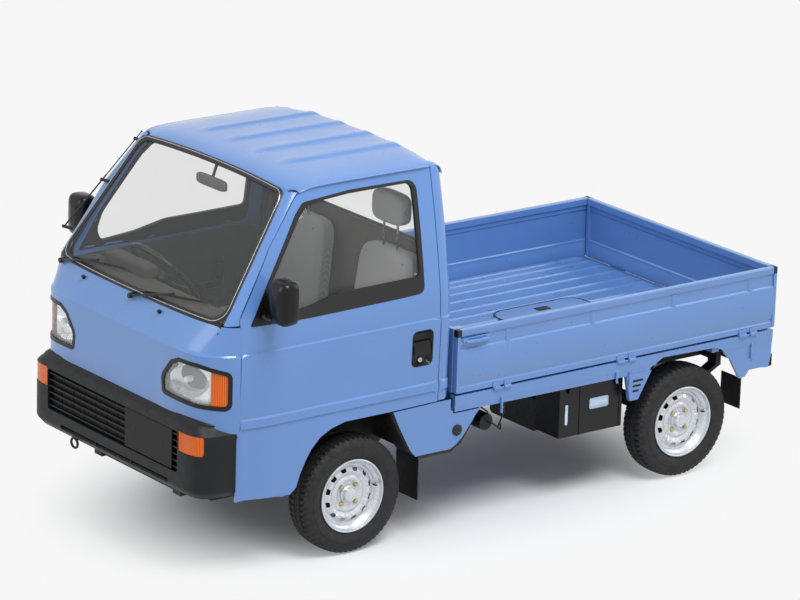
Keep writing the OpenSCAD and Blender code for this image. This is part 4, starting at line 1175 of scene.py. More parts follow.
def build_bumper():
    us = [-0.90 + 0.06 * k for k in range(31)]
    outline = [Vector((-0.90, 0.405))]
    outline += [Vector((u, 0.393)) for u in (-0.84, -0.4, 0, 0.4, 0.84)]
    outline += [Vector((0.90, 0.405))]
    outline += [Vector((u, bumper_top_z(u))) for u in reversed(us)]
    opening = rounded([(-0.508, 0.488, 0.012), (0.508, 0.488, 0.012), (0.508, 0.674, 0.012),
                       (-0.508, 0.674, 0.012)], 4)
    lamp = rounded([(0.514, 0.590, 0.008), (0.684, 0.590, 0.014), (0.684, 0.680, 0.014),
                    (0.514, 0.680, 0.008)], 4)
    other = [Vector((-p.x, p.y)) for p in reversed(lamp)]
    slot_hole = rounded([(-0.40, 0.420, 0.009), (0.44, 0.420, 0.009), (0.44, 0.442, 0.009),
                         (-0.40, 0.442, 0.009)], 3)
    skin("bumper_skin", outline, bumper_point, BUMPER, "chassis", holes=[opening, lamp, other, slot_hole],
         depth=0.014, step=0.022, rows=(0.697, 0.705, 0.713, 0.721, 0.729, 0.737, 0.43, 0.418, 0.405),
         bevel=0.003, slot="black_plastic", replaces="front_bumper")
    # the ledge from the bumper's top edge back to the panel
    n = 81
    verts = []
    for k in range(n):
        u = -0.885 + 1.77 * k / (n - 1)
        side = 1 if u >= 0 else -1
        a = abs(u)
        edge = Vector(bumper_point(u, bumper_top_z(u) - 0.001))
        along = side * (a * 1.04 if a < 0.70 else 0.728 + (a - 0.70) * 0.175)
        inner = Vector(nose(along, bumper_top_z(u), 0.010))
        verts += [edge, edge.lerp(inner, 0.5) + Vector((0, 0, 0.002)), inner,
                  Vector(nose(along, bumper_top_z(u) - 0.02, 0.012))]
    faces = grid_faces(n, 4)
    thick(piece("bumper_top", verts, facing_out(verts, faces, Vector((0, -1.55, 0.5))), BUMPER, "chassis",
                slot="black_plastic"), 0.003)
    # grille slats and dividers, behind them a dark wall
    verts, faces = [], []
    slats = 6
    for k in range(slats):
        z = 0.506 + 0.030 * k
        section = [(-1.619, z + 0.0035), (-1.6215, z), (-1.619, z - 0.0045), (-1.594, z - 0.001)]
        base = len(verts)
        for x in (-0.506, 0.506):
            verts += [(x, y, zz) for y, zz in section]
        faces += [(base + j, base + (j + 1) % 4, base + 4 + (j + 1) % 4, base + 4 + j) for j in range(4)]
    cuboids = [((x - 0.0025, -1.603, 0.490), (x + 0.0025, -1.594, 0.672)) for x in
               (-0.43, -0.34, -0.25, -0.16, -0.07, 0.02, 0.49)]
    boxes(cuboids, verts, faces)
    bevelled(piece("grille_slats", verts, faces, BUMPER, "chassis", slot="black_plastic",
                   replaces="front_grille"), 0.0015)
    box_piece("grille_wall", [((-0.53, -1.601, 0.41), (0.53, -1.598, 0.69))], RUBBER, "chassis",
              slot="black_plastic")
    box_piece("plate_board", [((0.105, -1.6255, 0.492), (0.470, -1.6135, 0.672))], PLATE, "chassis",
              bevel=0.004, slot="black_plastic")
    tubes("plate_screws", [([(x, -1.6265, 0.590), (x, -1.612, 0.590)], 0.006, 12) for x in (0.182, 0.392)],
          CHASSIS, "chassis", slot="black_metal")
    box_piece("lower_slot_bars",
              [((x - 0.004, -1.622, 0.418), (x + 0.004, -1.60, 0.444)) for x in (-0.13, 0.15)], BUMPER,
              "chassis", slot="black_plastic")
    for side in (1, -1):
        name = SIDE_NAME[side]
        shape = lamp if side > 0 else other
        skin(name + "_indicator_lens", offset_outline(shape, -0.0015),
             lambda u, z: bumper_point(u, z, 0.002), AMBER_PAINTED_RIB_SHADE, "chassis", depth=0.014, step=0.012,
             bevel=0.002, slot="amber_lens", replaces="front_indicators")
    hook = [(-0.33 + 0.026 * cos(w), -1.600, 0.372 + 0.022 * sin(w))
            for w in (2 * pi * k / 16 for k in range(16))]
    tubes("tow_hook", [dict(path=hook, radius=0.006, sides=8, closed=True),
                       ([(-0.33, -1.57, 0.41), (-0.33, -1.60, 0.394)], 0.010, 10)],
          CHASSIS, "chassis", slot="black_metal")


build_bumper()

# ---- bed ------------------------------------------------------------------------------------------

HINGE_Z = 0.6425
TAILGATE_HALF_W = 0.664
GATE_SCALE = (GATE_TOP_Z - GATE_Z) / 0.295
GATE_SECTION = [(0.0035, 0.000), (0.0035, 0.024), (0.0075, 0.030), (0.0075, 0.040), (0.0035, 0.047),
                (0.0035, 0.060), (0.0005, 0.068), (0.0, 0.130), (0.0005, 0.194), (0.0025, 0.199),
                (0.0085, 0.205), (0.0085, 0.256), (0.002, 0.262), (0.0, 0.268), (0.0, 0.290),
                (0.003, 0.295), (0.025, 0.295), (0.028, 0.291), (0.028, 0.262), (0.020, 0.254),
                (0.0195, 0.236), (0.0145, 0.230), (0.0145, 0.088), (0.0195, 0.082), (0.0195, 0.066),
                (0.024, 0.058), (0.024, 0.000)]


def gate_mesh(length, ribs, place):
    """A gate's long pressed section, with bars across its raised band and folded ends.

    place(along, inward, up) gives a point.
    """
    verts = [place(a, d, h * GATE_SCALE) for a in (0, length) for d, h in GATE_SECTION]
    n = len(GATE_SECTION)
    faces = grid_faces(2, n, closed=True) + [tuple(reversed(range(n))), tuple(range(n, 2 * n))]
    for at in ribs:
        base = len(verts)
        for a, d in ((at - 0.016, 0.009), (at - 0.008, 0.0015), (at + 0.008, 0.0015), (at + 0.016, 0.009)):
            verts += [place(a, d, 0.201 * GATE_SCALE), place(a, d, 0.260 * GATE_SCALE)]
        faces += [(base + 2 * k, base + 2 * k + 1, base + 2 * k + 3, base + 2 * k + 2) for k in range(3)]
    for a, turn in ((0.0, 1), (length, -1)):
        base = len(verts)
        for aa in (a - 0.0005 * turn, a + 0.016 * turn):
            for d in (-0.0006, 0.0288):
                for h in (0.004, 0.2955):
                    verts.append(place(aa, d, h * GATE_SCALE))
        faces += [(base, base + 1, base + 3, base + 2), (base + 4, base + 6, base + 7, base + 5),
                  (base, base + 4, base + 5, base + 1), (base + 2, base + 3, base + 7, base + 6),
                  (base + 1, base + 5, base + 7, base + 3), (base, base + 2, base + 6, base + 4)]
    return verts, faces


def build_side_gate(side):
    name = SIDE_NAME[side]
    body = "gate_" + name
    start = BED_FRONT_Y + 0.002
    length = GATE_REAR_Y - start - 0.001

    def place(a, d, h):
        return Vector((side * (HALF_W - d), start + a, GATE_Z + h))

    verts, faces = gate_mesh(length, [y - start for y in (0.024, 0.513, 0.991, 1.452)], place)
    obj = piece(name + "_gate_panel", verts, facing_out(verts, faces, Vector((side * 0.683, 0.67, 0.80))),
                BED_BLUE, body, slot="bed_paint", replaces=name + "_gate")
    fix_normals(obj)
    bevelled(obj, 0.0012)
    # latch near the cab, hinge barrels and corner rubbers
    x = side * HALF_W
    cuboids = [((min(x, x - side * 0.006), -0.250, 0.874), (max(x, x - side * 0.006), -0.082, 0.907))]
    box_piece(name + "_latch_plate", cuboids, BED_BLUE, body, bevel=0.003, slot="bed_paint")
    bar = [(x - side * 0.001, -0.225, 0.898), (x + side * 0.010, -0.218, 0.892),
           (x + side * 0.012, -0.16, 0.890), (x + side * 0.008, -0.10, 0.890)]
    pin = [(x - side * 0.01, -0.225, 0.898), (x + side * 0.008, -0.225, 0.898)]
    tubes(name + "_latch_bar", [(bar, 0.0085, 10), (pin, 0.013, 16)], BED_BLUE, body, slot="bed_paint")
    runs = []
    flats = []
    for y0, y1 in ((-0.055, 0.048), (0.661, 0.773), (1.396, 1.506)):
        runs += [([(side * 0.6985, y, HINGE_Z) for y in (y0 + 0.004, (y0 + y1) / 2 - 0.012)], 0.0085, 16),
                 ([(side * 0.6985, y, HINGE_Z) for y in ((y0 + y1) / 2 + 0.012, y1 - 0.004)], 0.0085, 16)]
        for ya, yb in ((y0, (y0 + y1) / 2 - 0.012), ((y0 + y1) / 2 + 0.012, y1)):
            a, b = sorted((x + side * 0.0012, x - side * 0.004))
            flats.append(((a, ya, 0.648), (b, yb, 0.672)))
    tubes(name + "_gate_hinges", runs, BED_BLUE, body, slot="bed_paint")
    box_piece(name + "_gate_hinge_plates", flats, BED_BLUE, body, bevel=0.0015, slot="bed_paint")
    a, b = sorted((side * 0.668, side * 0.6995))
    ends = ((start - 0.003, start + 0.022), (GATE_REAR_Y - 0.022, GATE_REAR_Y))
    cuboids = [((a, low_y, GATE_Z + 0.262), (b, high_y, GATE_TOP_Z + 0.001)) for low_y, high_y in ends]
    box_piece(name + "_gate_rubbers", cuboids, RUBBER, body, bevel=0.004, slot="black_plastic")


def fix_normals(obj):
    bm = bmesh.new()
    bm.from_mesh(obj.data)
    bmesh.ops.recalc_face_normals(bm, faces=bm.faces)
    bm.to_mesh(obj.data)
    bm.free()
    obj.data.set_sharp_from_angle(angle=radians(30))


def build_tailgate():
    length = 2 * TAILGATE_HALF_W

    def place(a, d, h):
        return Vector((TAILGATE_HALF_W - a, GATE_REAR_Y - d, GATE_Z + h))

    verts, faces = gate_mesh(length, [0.16, 0.49, 0.84, 1.17], place)
    obj = piece("tailgate_panel", verts, faces, BED_BLUE, "gate_rear", slot="bed_paint",
                replaces="tailgate")
    fix_normals(obj)
    bevelled(obj, 0.0012)
    runs = []
    for s in (0.1, 0.47, 0.84):
        x = TAILGATE_HALF_W - s * length
        runs.append(([(x - 0.046, GATE_REAR_Y + 0.002, HINGE_Z), (x - 0.006, GATE_REAR_Y + 0.002, HINGE_Z)],
                     0.0085, 16))
    tubes("tailgate_hinges", runs, BED_BLUE, "gate_rear", slot="bed_paint")
    runs = []
    for side in (1, -1):
        x = side * 0.60
        runs += [([(x, GATE_REAR_Y - 0.006, 0.905), (x, GATE_REAR_Y + 0.008, 0.905)], 0.010, 16),
                 ([(x, GATE_REAR_Y + 0.005, 0.905), (x - side * 0.05, GATE_REAR_Y + 0.006, 0.900),
                   (x - side * 0.11, GATE_REAR_Y + 0.005, 0.898)], 0.006, 10)]
    tubes("tailgate_latches", runs, BED_BLUE, "gate_rear", slot="bed_paint")


FLOOR_RIBS = (0.653, 0.588, 0.498, 0.397, 0.284, 0.185, 0.074)


def build_bed_floor():
    """A ribbed steel floor with a flat hatch over the engine on the left of the middle."""
    hatch = (-0.145, 0.41, 0.578, 1.093)
    edges = [round(s * (x + d), 5) for x in FLOOR_RIBS
             for d in (-0.017, -0.012, 0.012, 0.017)
             for s in (1, -1)]
    xs = sorted(set(edges + [-0.661, 0.661, 0.0] + [0.033 * k for k in range(-19, 20)]))
    xs = [x for i, x in enumerate(xs) if i == 0 or x - xs[i - 1] > 0.003 or abs(x) > 0.66]
    y0, y1 = BED_FRONT_Y + 0.024, GATE_REAR_Y - GATE_T - 0.004
    ys = [y0, y0 + 0.03, y0 + 0.045, y0 + 0.06, y0 + 0.075]
    ys += [y0 + 0.11 + 0.036 * k for k in range(45)]
    ys = [y for y in ys if y < y1 - 0.09] + [y1 - 0.08, y1 - 0.065, y1 - 0.05, y1 - 0.03, y1]
    verts = []
    for y in ys:
        ends = ease(min(y - y0 - 0.028, y1 - 0.028 - y) / 0.045)
        for x in xs:
            rib = max(1 - ease((abs(abs(x) - at) - 0.0115) / 0.0055) for at in FLOOR_RIBS)
            verts.append((x, y, BED_Z - 0.0065 + 0.0062 * rib * ends))
    obj = piece("bed_floor_skin", verts, grid_faces(len(ys), len(xs)), BED_BLUE, "chassis",
                slot="bed_paint", replaces="bed_floor")
    thick(obj, 0.006)
    box_piece("bed_floor_edge", [((-0.664, y1 - 0.03, BED_Z - 0.045), (0.664, y1 + 0.022, BED_Z - 0.016))],
              CHASSIS, "chassis", slot="black_metal")
    low_x, high_x, low_y, high_y = hatch
    plate = rounded([(low_x, low_y, 0.075), (high_x, low_y, 0.075), (high_x, high_y, 0.075),
                     (low_x, high_y, 0.075)], 7)
    skin("bed_hatch", plate, lambda x, y: (x, y, BED_Z + 0.0035), BED_BLUE, "chassis", step=0.04,
         depth=0.008, bevel=0.003, centre=Vector((0, 0.8, 0.0)), slot="bed_paint")
    seam = [Vector((p.x, p.y, BED_Z + 0.0005)) for p in offset_outline(plate, 0.006)]
    tubes("hatch_seal", [dict(path=seam, radius=0.0035, sides=6, closed=True)], RUBBER, "chassis",
          slot="black_plastic")
    pull = rounded([(low_x + 0.05, 0.80, 0.012), (low_x + 0.10, 0.80, 0.012), (low_x + 0.10, 0.88, 0.012),
                    (low_x + 0.05, 0.88, 0.012)], 4)
    skin("hatch_recess", pull, lambda x, y: (x, y, BED_Z + 0.0041), CHASSIS, "chassis", step=0.03,
         depth=0.001, bevel=0, centre=Vector((0, 0.8, 0.0)), slot="black_metal")


def build_front_board():
    xs = 0.663
    cuboids = [((-xs, BED_FRONT_Y + 0.001, BED_Z - 0.01), (xs, BED_FRONT_Y + 0.006, GATE_TOP_Z - 0.03)),
               ((-xs, BED_FRONT_Y, GATE_TOP_Z - 0.032), (xs, BED_FRONT_Y + 0.024, GATE_TOP_Z)),
               ((-xs, BED_FRONT_Y + 0.005, 0.745), (xs, BED_FRONT_Y + 0.018, 0.765)),
               ((-xs, BED_FRONT_Y + 0.005, 0.835), (xs, BED_FRONT_Y + 0.018, 0.855)),
               ((-xs, BED_FRONT_Y, BED_Z - 0.012), (xs, BED_FRONT_Y + 0.024, BED_Z + 0.02))]
    for side in (1, -1):
        a, b = sorted((side * 0.629, side * 0.664))
        cuboids.append(((a, BED_FRONT_Y + 0.002, BED_Z), (b, BED_FRONT_Y + 0.058, GATE_TOP_Z - 0.001)))
    box_piece("bed_front_board_panel", cuboids, BED_BLUE, "chassis", bevel=0.004, slot="bed_paint",
              replaces="bed_front_board")


def build_bed_sides():
    """The skirts below the gates, with their rails, rope hooks and front stays."""
    for side in (1, -1):
        name = SIDE_NAME[side]
        outline = [(-0.262, 0.568), (0.80, 0.566), (0.873, 0.582), (0.942, 0.617), (1.166, 0.612),
                   (1.257, 0.610), (1.301, 0.594), (1.360, 0.530), (1.405, 0.470), (1.429, 0.434),
                   (1.452, 0.434), (1.475, 0.463), (1.556, 0.463), (1.594, 0.458), (1.608, 0.514),
                   (1.611, 0.640), (-0.262, 0.640)]

        def face(y, z):
            return (side * (0.6935 - 0.003 * ease((0.592 - z) / 0.010)), y, z)

        skin(name + "_bed_skirt", [Vector(p) for p in outline], face, BED_BLUE, "chassis", step=0.035,
             depth=0.004, rows=(0.584, 0.590, 0.596), centre=Vector((0, 0.7, 0.6)), slot="bed_paint")
        a, b = sorted((side * 0.650, side * 0.690))
        box_piece(name + "_bed_rail",
                  [((a, -0.262, 0.628), (b, 1.612, 0.641)), ((a, -0.262, 0.568), (b, 0.80, 0.574))],
                  BED_BLUE, "chassis", bevel=0.002, slot="bed_paint")
        hooks = [([(side * 0.690, y, 0.600), (side * 0.696, y, 0.590), (side * 0.6965, y, 0.552),
                   (side * 0.701, y, 0.543)], 0.0055, 10)
                 for y in (0.0, 0.665, 1.481)]
        tubes(name + "_rope_hooks", hooks, BED_BLUE, "chassis", slot="bed_paint")
        stay = [(0.727, 0.568), (0.875, 0.568), (0.800, 0.440), (0.752, 0.440)]
        skin(name + "_bed_stay", [Vector(p) for p in stay], lambda y, z: (side * 0.6925, y, z), BED_BLUE,
             "chassis", step=0.03, depth=0.005, centre=Vector((0, 0.7, 0.5)), slot="bed_paint")
        slots = []
        for k in range(3):
            z = 0.478 + 0.024 * k
            xx = sorted((side * 0.6932, side * 0.690))
            slots.append(((xx[0], 0.765, z), (xx[1], 0.803 + 0.012 * k, z + 0.012)))
        box_piece(name + "_stay_louvres", slots, CHASSIS, "chassis", bevel=0.002, slot="black_metal")


def build_battery_box():
    lid = [((0.462, 0.3845, 0.306), (0.636, 0.7545, 0.553)), ((0.634, 0.500, 0.306), (0.640, 0.506, 0.553)),
           ((0.634, 0.735, 0.306), (0.640, 0.741, 0.553))]
    box_piece("battery_cover", lid, BLACK, "chassis", bevel=0.008, slot="black_plastic",
              replaces="battery_box")
    tubes("battery_knobs", [([(0.638, y, 0.527), (0.650, y, 0.527)], 0.014, 18) for y in (0.440, 0.715)],
          BLACK, "chassis", slot="black_plastic")
    label = rounded([(0.560, 0.418, 0.010), (0.672, 0.418, 0.010), (0.672, 0.470, 0.010),
                     (0.560, 0.470, 0.010)], 4)
    skin("battery_label", label, lambda y, z: (0.6368, y, z), LABEL, "chassis", step=0.05, depth=0.0006,
         bevel=0, slot="black_plastic")
    level = rounded([(0.418, 0.366, 0.006), (0.434, 0.366, 0.006), (0.434, 0.462, 0.006),
                     (0.418, 0.462, 0.006)], 4)
    skin("battery_level_slot", level, lambda y, z: (0.6372, y, z), LABEL, "chassis", step=0.05,
         depth=0.0006, bevel=0, slot="black_plastic")
    box_piece("battery_bracket", [((0.480, 0.474, 0.552), (0.620, 0.494, 0.581))], CHASSIS, "chassis",
              slot="black_metal")


def build_rear_lamps():
    for side in (1, -1):
        name = SIDE_NAME[side]
        a, b = sorted((side * 0.330, side * 0.590))
        third = (b - a) / 3
        pieces = [(RED, a if side < 0 else b - third, "red_lens"), (AMBER_PAINTED_RIB_SHADE, a + third, "amber_lens"),
                  (WHITE, b - third if side < 0 else a, "clear_lens")]
        box_piece(name + "_lamp_body", [((a, 1.5575, 0.462), (b, 1.600, 0.552))], BLACK, "chassis",
                  bevel=0.004, slot="black_plastic")
        for i, (mat, x, slot_name) in enumerate(pieces):
            box_piece(f"{name}_lamp_lens_{i}",
                      [((x + 0.003, 1.596, 0.467), (x + third - 0.003, 1.6095, 0.547))], mat, "chassis",
                      bevel=0.004, slot=slot_name, replaces="tail_lights")
        lathe(name + "_side_lamp",
              [(-0.012, 0.034), (0.004, 0.034), (0.006, 0.031), (0.007, 0.028), (0.012, 0.022),
               (0.014, 0.0)], (side * 0.578, 1.560, 0.484), WHITE, "chassis", segments=36,
              slot="clear_lens", shape=(lambda x, r, w: (x * side, r)))


build_side_gate(1)
build_side_gate(-1)
build_tailgate()
build_bed_floor()
build_front_board()
build_bed_sides()
build_battery_box()
build_rear_lamps()

# ---- wheels ---------------------------------------------------------------------------------------

TYRE_PROFILE = [(-0.052, 0.163), (-0.058, 0.170), (-0.062, 0.178), (-0.068, 0.190), (-0.0720, 0.206),
                (-0.0725, 0.217), (-0.0705, 0.219), (-0.0708, 0.224), (-0.0690, 0.236), (-0.0655, 0.247),
                (-0.0615, 0.2545), (-0.0565, 0.2600), (-0.0500, 0.2640), (-0.0365, 0.2665),
                (-0.0335, 0.2668), (-0.0330, 0.2600), (-0.0285, 0.2600), (-0.0280, 0.2672),
                (-0.0080, 0.2678), (-0.0030, 0.2680), (-0.0025, 0.2610), (0.0025, 0.2610)]


def build_tyre(name, body, centre):
    half = TYRE_PROFILE
    profile = half + [(-x, r) for x, r in reversed(half)]
    blocks = 60
    segments = blocks * 5
    scale = TYRE_W / 0.145

    def shape(x, r, w):
        turn = (w / (2 * pi) * blocks) % 1
        if r > 0.262:
            skew = (turn + (0.35 if x > 0 else 0.0) + abs(x) * 6) % 1
            if abs(x) > 0.030:
                r -= 0.0085 * (1 - ease((abs(skew - 0.5) - 0.06) / 0.16))
            elif abs(x) > 0.006:
                r -= 0.0050 * (1 - ease((abs(skew - 0.5) - 0.04) / 0.12))
        elif 0.2530 < r <= 0.262 and abs(x) > 0.05:
            r -= 0.0060 * (1 - ease((abs(turn - 0.5) - 0.06) / 0.18))
        return x * scale, r * TYRE_R / 0.268

    lathe(name + "_tread", profile, centre, TYRE, body, segments=segments, shape=shape, slot="tyre_rubber",
          replaces=name, sharp=28)


RIM_PROFILE = [(0.058, 0.1690), (0.064, 0.1680), (0.066, 0.1645), (0.064, 0.1610), (0.058, 0.1585),
               (0.050, 0.1560), (0.046, 0.1520), (0.043, 0.1470), (0.036, 0.1420), (0.030, 0.1385),
               (0.0290, 0.1300)]
DISC_PROFILE = [(0.0290, 0.1300), (0.0300, 0.1240), (0.0345, 0.1170), (0.0390, 0.1110), (0.0400, 0.1060),
                (0.0360, 0.0980), (0.0300, 0.0900), (0.0280, 0.0850), (0.0320, 0.0790), (0.0350, 0.0740),
                (0.0345, 0.0680), (0.0300, 0.0620), (0.0270, 0.0560), (0.0265, 0.0480), (0.0270, 0.0400)]
BARREL_PROFILE = [(0.030, 0.1385), (-0.020, 0.1400), (-0.046, 0.1480), (-0.052, 0.1580), (-0.062, 0.1610),
                  (-0.066, 0.1660), (-0.060, 0.1690)]


def build_rim(name, body, centre, side):
    """The outer lip, a pressed disc with twelve vents, four nuts, the hub cap and the valve."""

    def flip(x, r, w):
        return side * x, r

    lathe(name + "_lip", RIM_PROFILE + BARREL_PROFILE[1:], centre, SILVER, body, segments=96, shape=flip,
          slot="wheel_silver", replaces=name)
    rim_obj = bpy.data.objects[name + "_lip"]
    fix_normals(rim_obj)
    thick(rim_obj, 0.002)
    # the disc in polar coordinates, its vents cut out
    distances = [r for _, r in DISC_PROFILE]
    vent = ((-0.105, 0.1250), (-0.122, 0.1205), (-0.108, 0.1105), (-0.085, 0.1072),
            (0.085, 0.1072), (0.108, 0.1105), (0.122, 0.1205), (0.105, 0.1250))
    vents = []
    count = 12
    for k in range(count):
        mid = (k + 0.5) * 2 * pi / count
        vents.append([Vector((mid + a, r)) for a, r in vent])
    depth_of = sorted((r, x) for x, r in DISC_PROFILE)

    def face(w, r):
        x = linear(depth_of, r)
        near_vent = min(abs(((w * count / (2 * pi)) % 1) - 0.5) / 0.30, 1)
        x += 0.0022 * (1 - ease(near_vent)) * ease((r - 0.098) / 0.010) * ease((0.128 - r) / 0.006)
        return (centre[0] + side * x, centre[1] + r * cos(w), centre[2] + r * sin(w))

    outline = [Vector((0, 0.040)), Vector((2 * pi, 0.040)), Vector((2 * pi, 0.130)), Vector((0, 0.130))]
    verts, faces = polar_sheet(outline, vents, face, sorted(distances))
    disc = piece(name + "_disc", verts, faces, SILVER, body, slot="wheel_silver")
    bm = bmesh.new()
    bm.from_mesh(disc.data)
    bmesh.ops.remove_doubles(bm, verts=bm.verts, dist=0.00005)
    bmesh.ops.recalc_face_normals(bm, faces=bm.faces)
    if sum(f.normal.x * f.calc_area() for f in bm.faces) * side < 0:
        bmesh.ops.reverse_faces(bm, faces=bm.faces)
    bm.to_mesh(disc.data)
    bm.free()
    disc.data.set_sharp_from_angle(angle=radians(50))
    thick(disc, 0.0035)
    # the hub cap and its ring
    lathe(name + "_cap", [(0.026, 0.042), (0.030, 0.041), (0.031, 0.036), (0.034, 0.033), (0.047, 0.0315),
                          (0.051, 0.029), (0.0525, 0.024), (0.053, 0.0)],
          centre, SILVER, body, segments=48, shape=flip, slot="wheel_silver")
    fix_normals(bpy.data.objects[name + "_cap"])
    parts = []
    for k in range(4):
        w = pi / 4 + k * pi / 2
        y, z = centre[1] + 0.055 * cos(w), centre[2] + 0.055 * sin(w)
        rings = [(0.0255, 0.0125, 24), (0.0290, 0.0120, 24), (0.0295, 0.0095, 6), (0.0390, 0.0095, 6),
                 (0.0410, 0.0080, 6)]
        verts, faces = [], []
        for x, r, n in rings:
            for j in range(24):
                a = 2 * pi * j / 24
                rr = r if n == 24 else r * cos(pi / 6) / cos((a % (pi / 3)) - pi / 6) * 1.1
                verts.append((centre[0] + side * x, y + rr * cos(a), z + rr * sin(a)))
        faces = grid_faces(len(rings), 24, closed=True) + [tuple(range(96, 120))]
        parts.append((verts, faces))
    verts, faces = joined(parts)
    fix_normals(piece(name + "_nuts", verts, faces, ZINC, body, slot="steel"))
    tubes(name + "_valve", [([(centre[0] + side * 0.034, centre[1] + 0.133, centre[2] + 0.02),
                              (centre[0] + side * 0.056, centre[1] + 0.136, centre[2] + 0.022)], 0.0038,
                             8)],
          RUBBER, body, slot="black_plastic")


def polar_sheet(outline, holes, face, rings):
    """A sheet in (angle, radius), filled along the given rings."""
    spokes = 144
    step = 2 * pi / spokes
    verts, edges = [], []
    low = [Vector((2 * pi * k / spokes, outline[0].y)) for k in range(spokes + 1)]
    high = [Vector((2 * pi * k / spokes, outline[2].y)) for k in range(spokes, -1, -1)]
    for loop in [low + high] + holes:
        base = len(verts)
        verts += loop
        edges += [(base + i, base + (i + 1) % len(loop)) for i in range(len(loop))]
    for r in rings:
        if not low[0].y + 1e-5 < r < high[0].y - 1e-5:
            continue
        for k in range(spokes + 1):
            p = Vector((k * step, r))
            if not any(inside(p, h) or near(p, h, 0.0022) for h in holes):
                verts.append(p)
    vs, _, fs, *_ = delaunay_2d_cdt(verts, edges, [], 0, 1e-7)
    faces = []
    for f in fs:
        c = sum((vs[i] for i in f), Vector((0, 0))) / len(f)
        if not any(inside(c, h) for h in holes):
            faces.append(tuple(f))
    return [face(v.x, v.y) for v in vs], faces


ZINC = metal("zinc_nuts", srgb(186, 176, 132), 0.35, metallic=0.8)
for side, name in ((1, "front_left"), (-1, "front_right"), (1, "rear_left"), (-1, "rear_right")):
    y = FRONT_AXLE_Y if name.startswith("front") else REAR_AXLE_Y
    wheel_centre = (side * WHEEL_X, y, AXLE_Z)
    wheel_body = "wheel_" + name
    build_tyre(name + "_tyre", wheel_body, wheel_centre)
    build_rim(name + "_rim", wheel_body, wheel_centre, side)

# ---- inside the cab -------------------------------------------------------------------------------


def build_dashboard():
    section = [(-1.545, 0.800), (-1.552, 1.080), (-1.540, 1.120), (-1.480, 1.138), (-1.380, 1.140),
               (-1.300, 1.128), (-1.262, 1.105), (-1.250, 1.070), (-1.258, 1.000), (-1.262, 0.900),
               (-1.285, 0.830), (-1.320, 0.800)]
    points = soft_outline([(a, b, 0.03) for a, b in section])
    xs = [-0.62, -0.60, -0.55, -0.30, -0.10, 0.10, 0.30, 0.55, 0.60, 0.62]
    verts = []
    for x in xs:
        edge = 1 - 0.02 * ease((abs(x) - 0.58) / 0.04)
        tuck = 0.012 * ease((abs(x) - 0.45) / 0.17)
        verts += [(x, max(p.x + tuck, -1.50 - 0.035 * (1 - ease((abs(x) - 0.3) / 0.3))),
                   0.96 + (p.y - 0.96) * edge) for p in points]
    n = len(points)
    faces = grid_faces(len(xs), n, closed=True)
    faces += [tuple(range(n)), tuple(range((len(xs) - 1) * n, len(xs) * n))]
    obj = piece("dashboard_moulding", verts, faces, DARK_TRIM, "chassis", slot="grey_trim",
                replaces="dashboard")
    fix_normals(obj)
    # the instrument hood and dials, vents, radio and glove box line
    box_piece("instrument_hood", [((-0.50, -1.345, 1.120), (-0.17, -1.266, 1.188))], DARK_TRIM, "chassis",
              bevel=0.018, slot="grey_trim")
    dials = [([(x, -1.272, 1.156), (x, -1.2635, 1.156)], 0.026, 28) for x in (-0.405, -0.265)]
    tubes("instrument_dials", dials, BLACK, "chassis", slot="black_plastic")
    cuboids = []
    for x in (-0.57, -0.09, 0.09, 0.57):
        for k in range(5):
            cuboids.append(((x - 0.045, -1.250, 1.020 + 0.012 * k), (x + 0.045, -1.243, 1.026 + 0.012 * k)))
    cuboids += [((-0.10, -1.262, 0.915), (0.10, -1.245, 0.985)),
                ((0.25, -1.262, 0.90), (0.56, -1.246, 0.905)), ((0.25, -1.262, 1.0), (0.56, -1.246, 1.004))]
    box_piece("dashboard_fittings", cuboids, BLACK, "chassis", bevel=0.0015, slot="black_plastic")


def build_steering():
    centre = Vector((-0.335, -1.1235, 1.085))
    axis = Vector((0, 0.7431, 0.6691))
    across = Vector((1, 0, 0))
    up = axis.cross(across).normalized()
    if up.z < 0:
        up = -up
    ring = [centre + across * 0.184 * cos(w) + up * 0.184 * sin(w)
            for w in (2 * pi * k / 64 for k in range(64))]
    runs = [dict(path=ring, radius=0.0130, sides=14, closed=True)]
    for w in (radians(200), radians(340), radians(270)):
        out = across * cos(w) + up * sin(w)
        runs.append(([centre - axis * 0.030 + out * 0.03, centre - axis * 0.026 + out * 0.09,
                      centre - axis * 0.006 + out * 0.175], 0.0125, 10))
    runs.append(([centre - axis * 0.045, centre - axis * 0.018, centre - axis * 0.010], 0.052, 32))
    tubes("steering_wheel_rim", runs, BLACK, "steering", slot="black_plastic", replaces="steering_wheel")
    tubes("steering_shroud", [([centre - axis * 0.055, centre - axis * 0.12, centre - axis * 0.19], 0.045,
                               20)], DARK_TRIM,
          "chassis", slot="grey_trim")
    stalks = [([centre - axis * 0.09, centre - axis * 0.085 + across * s * 0.12,
                centre - axis * 0.08 + across * s * 0.17], 0.006, 10) for s in (1, -1)]
    tubes("column_stalks", stalks, BLACK, "chassis", slot="black_plastic")


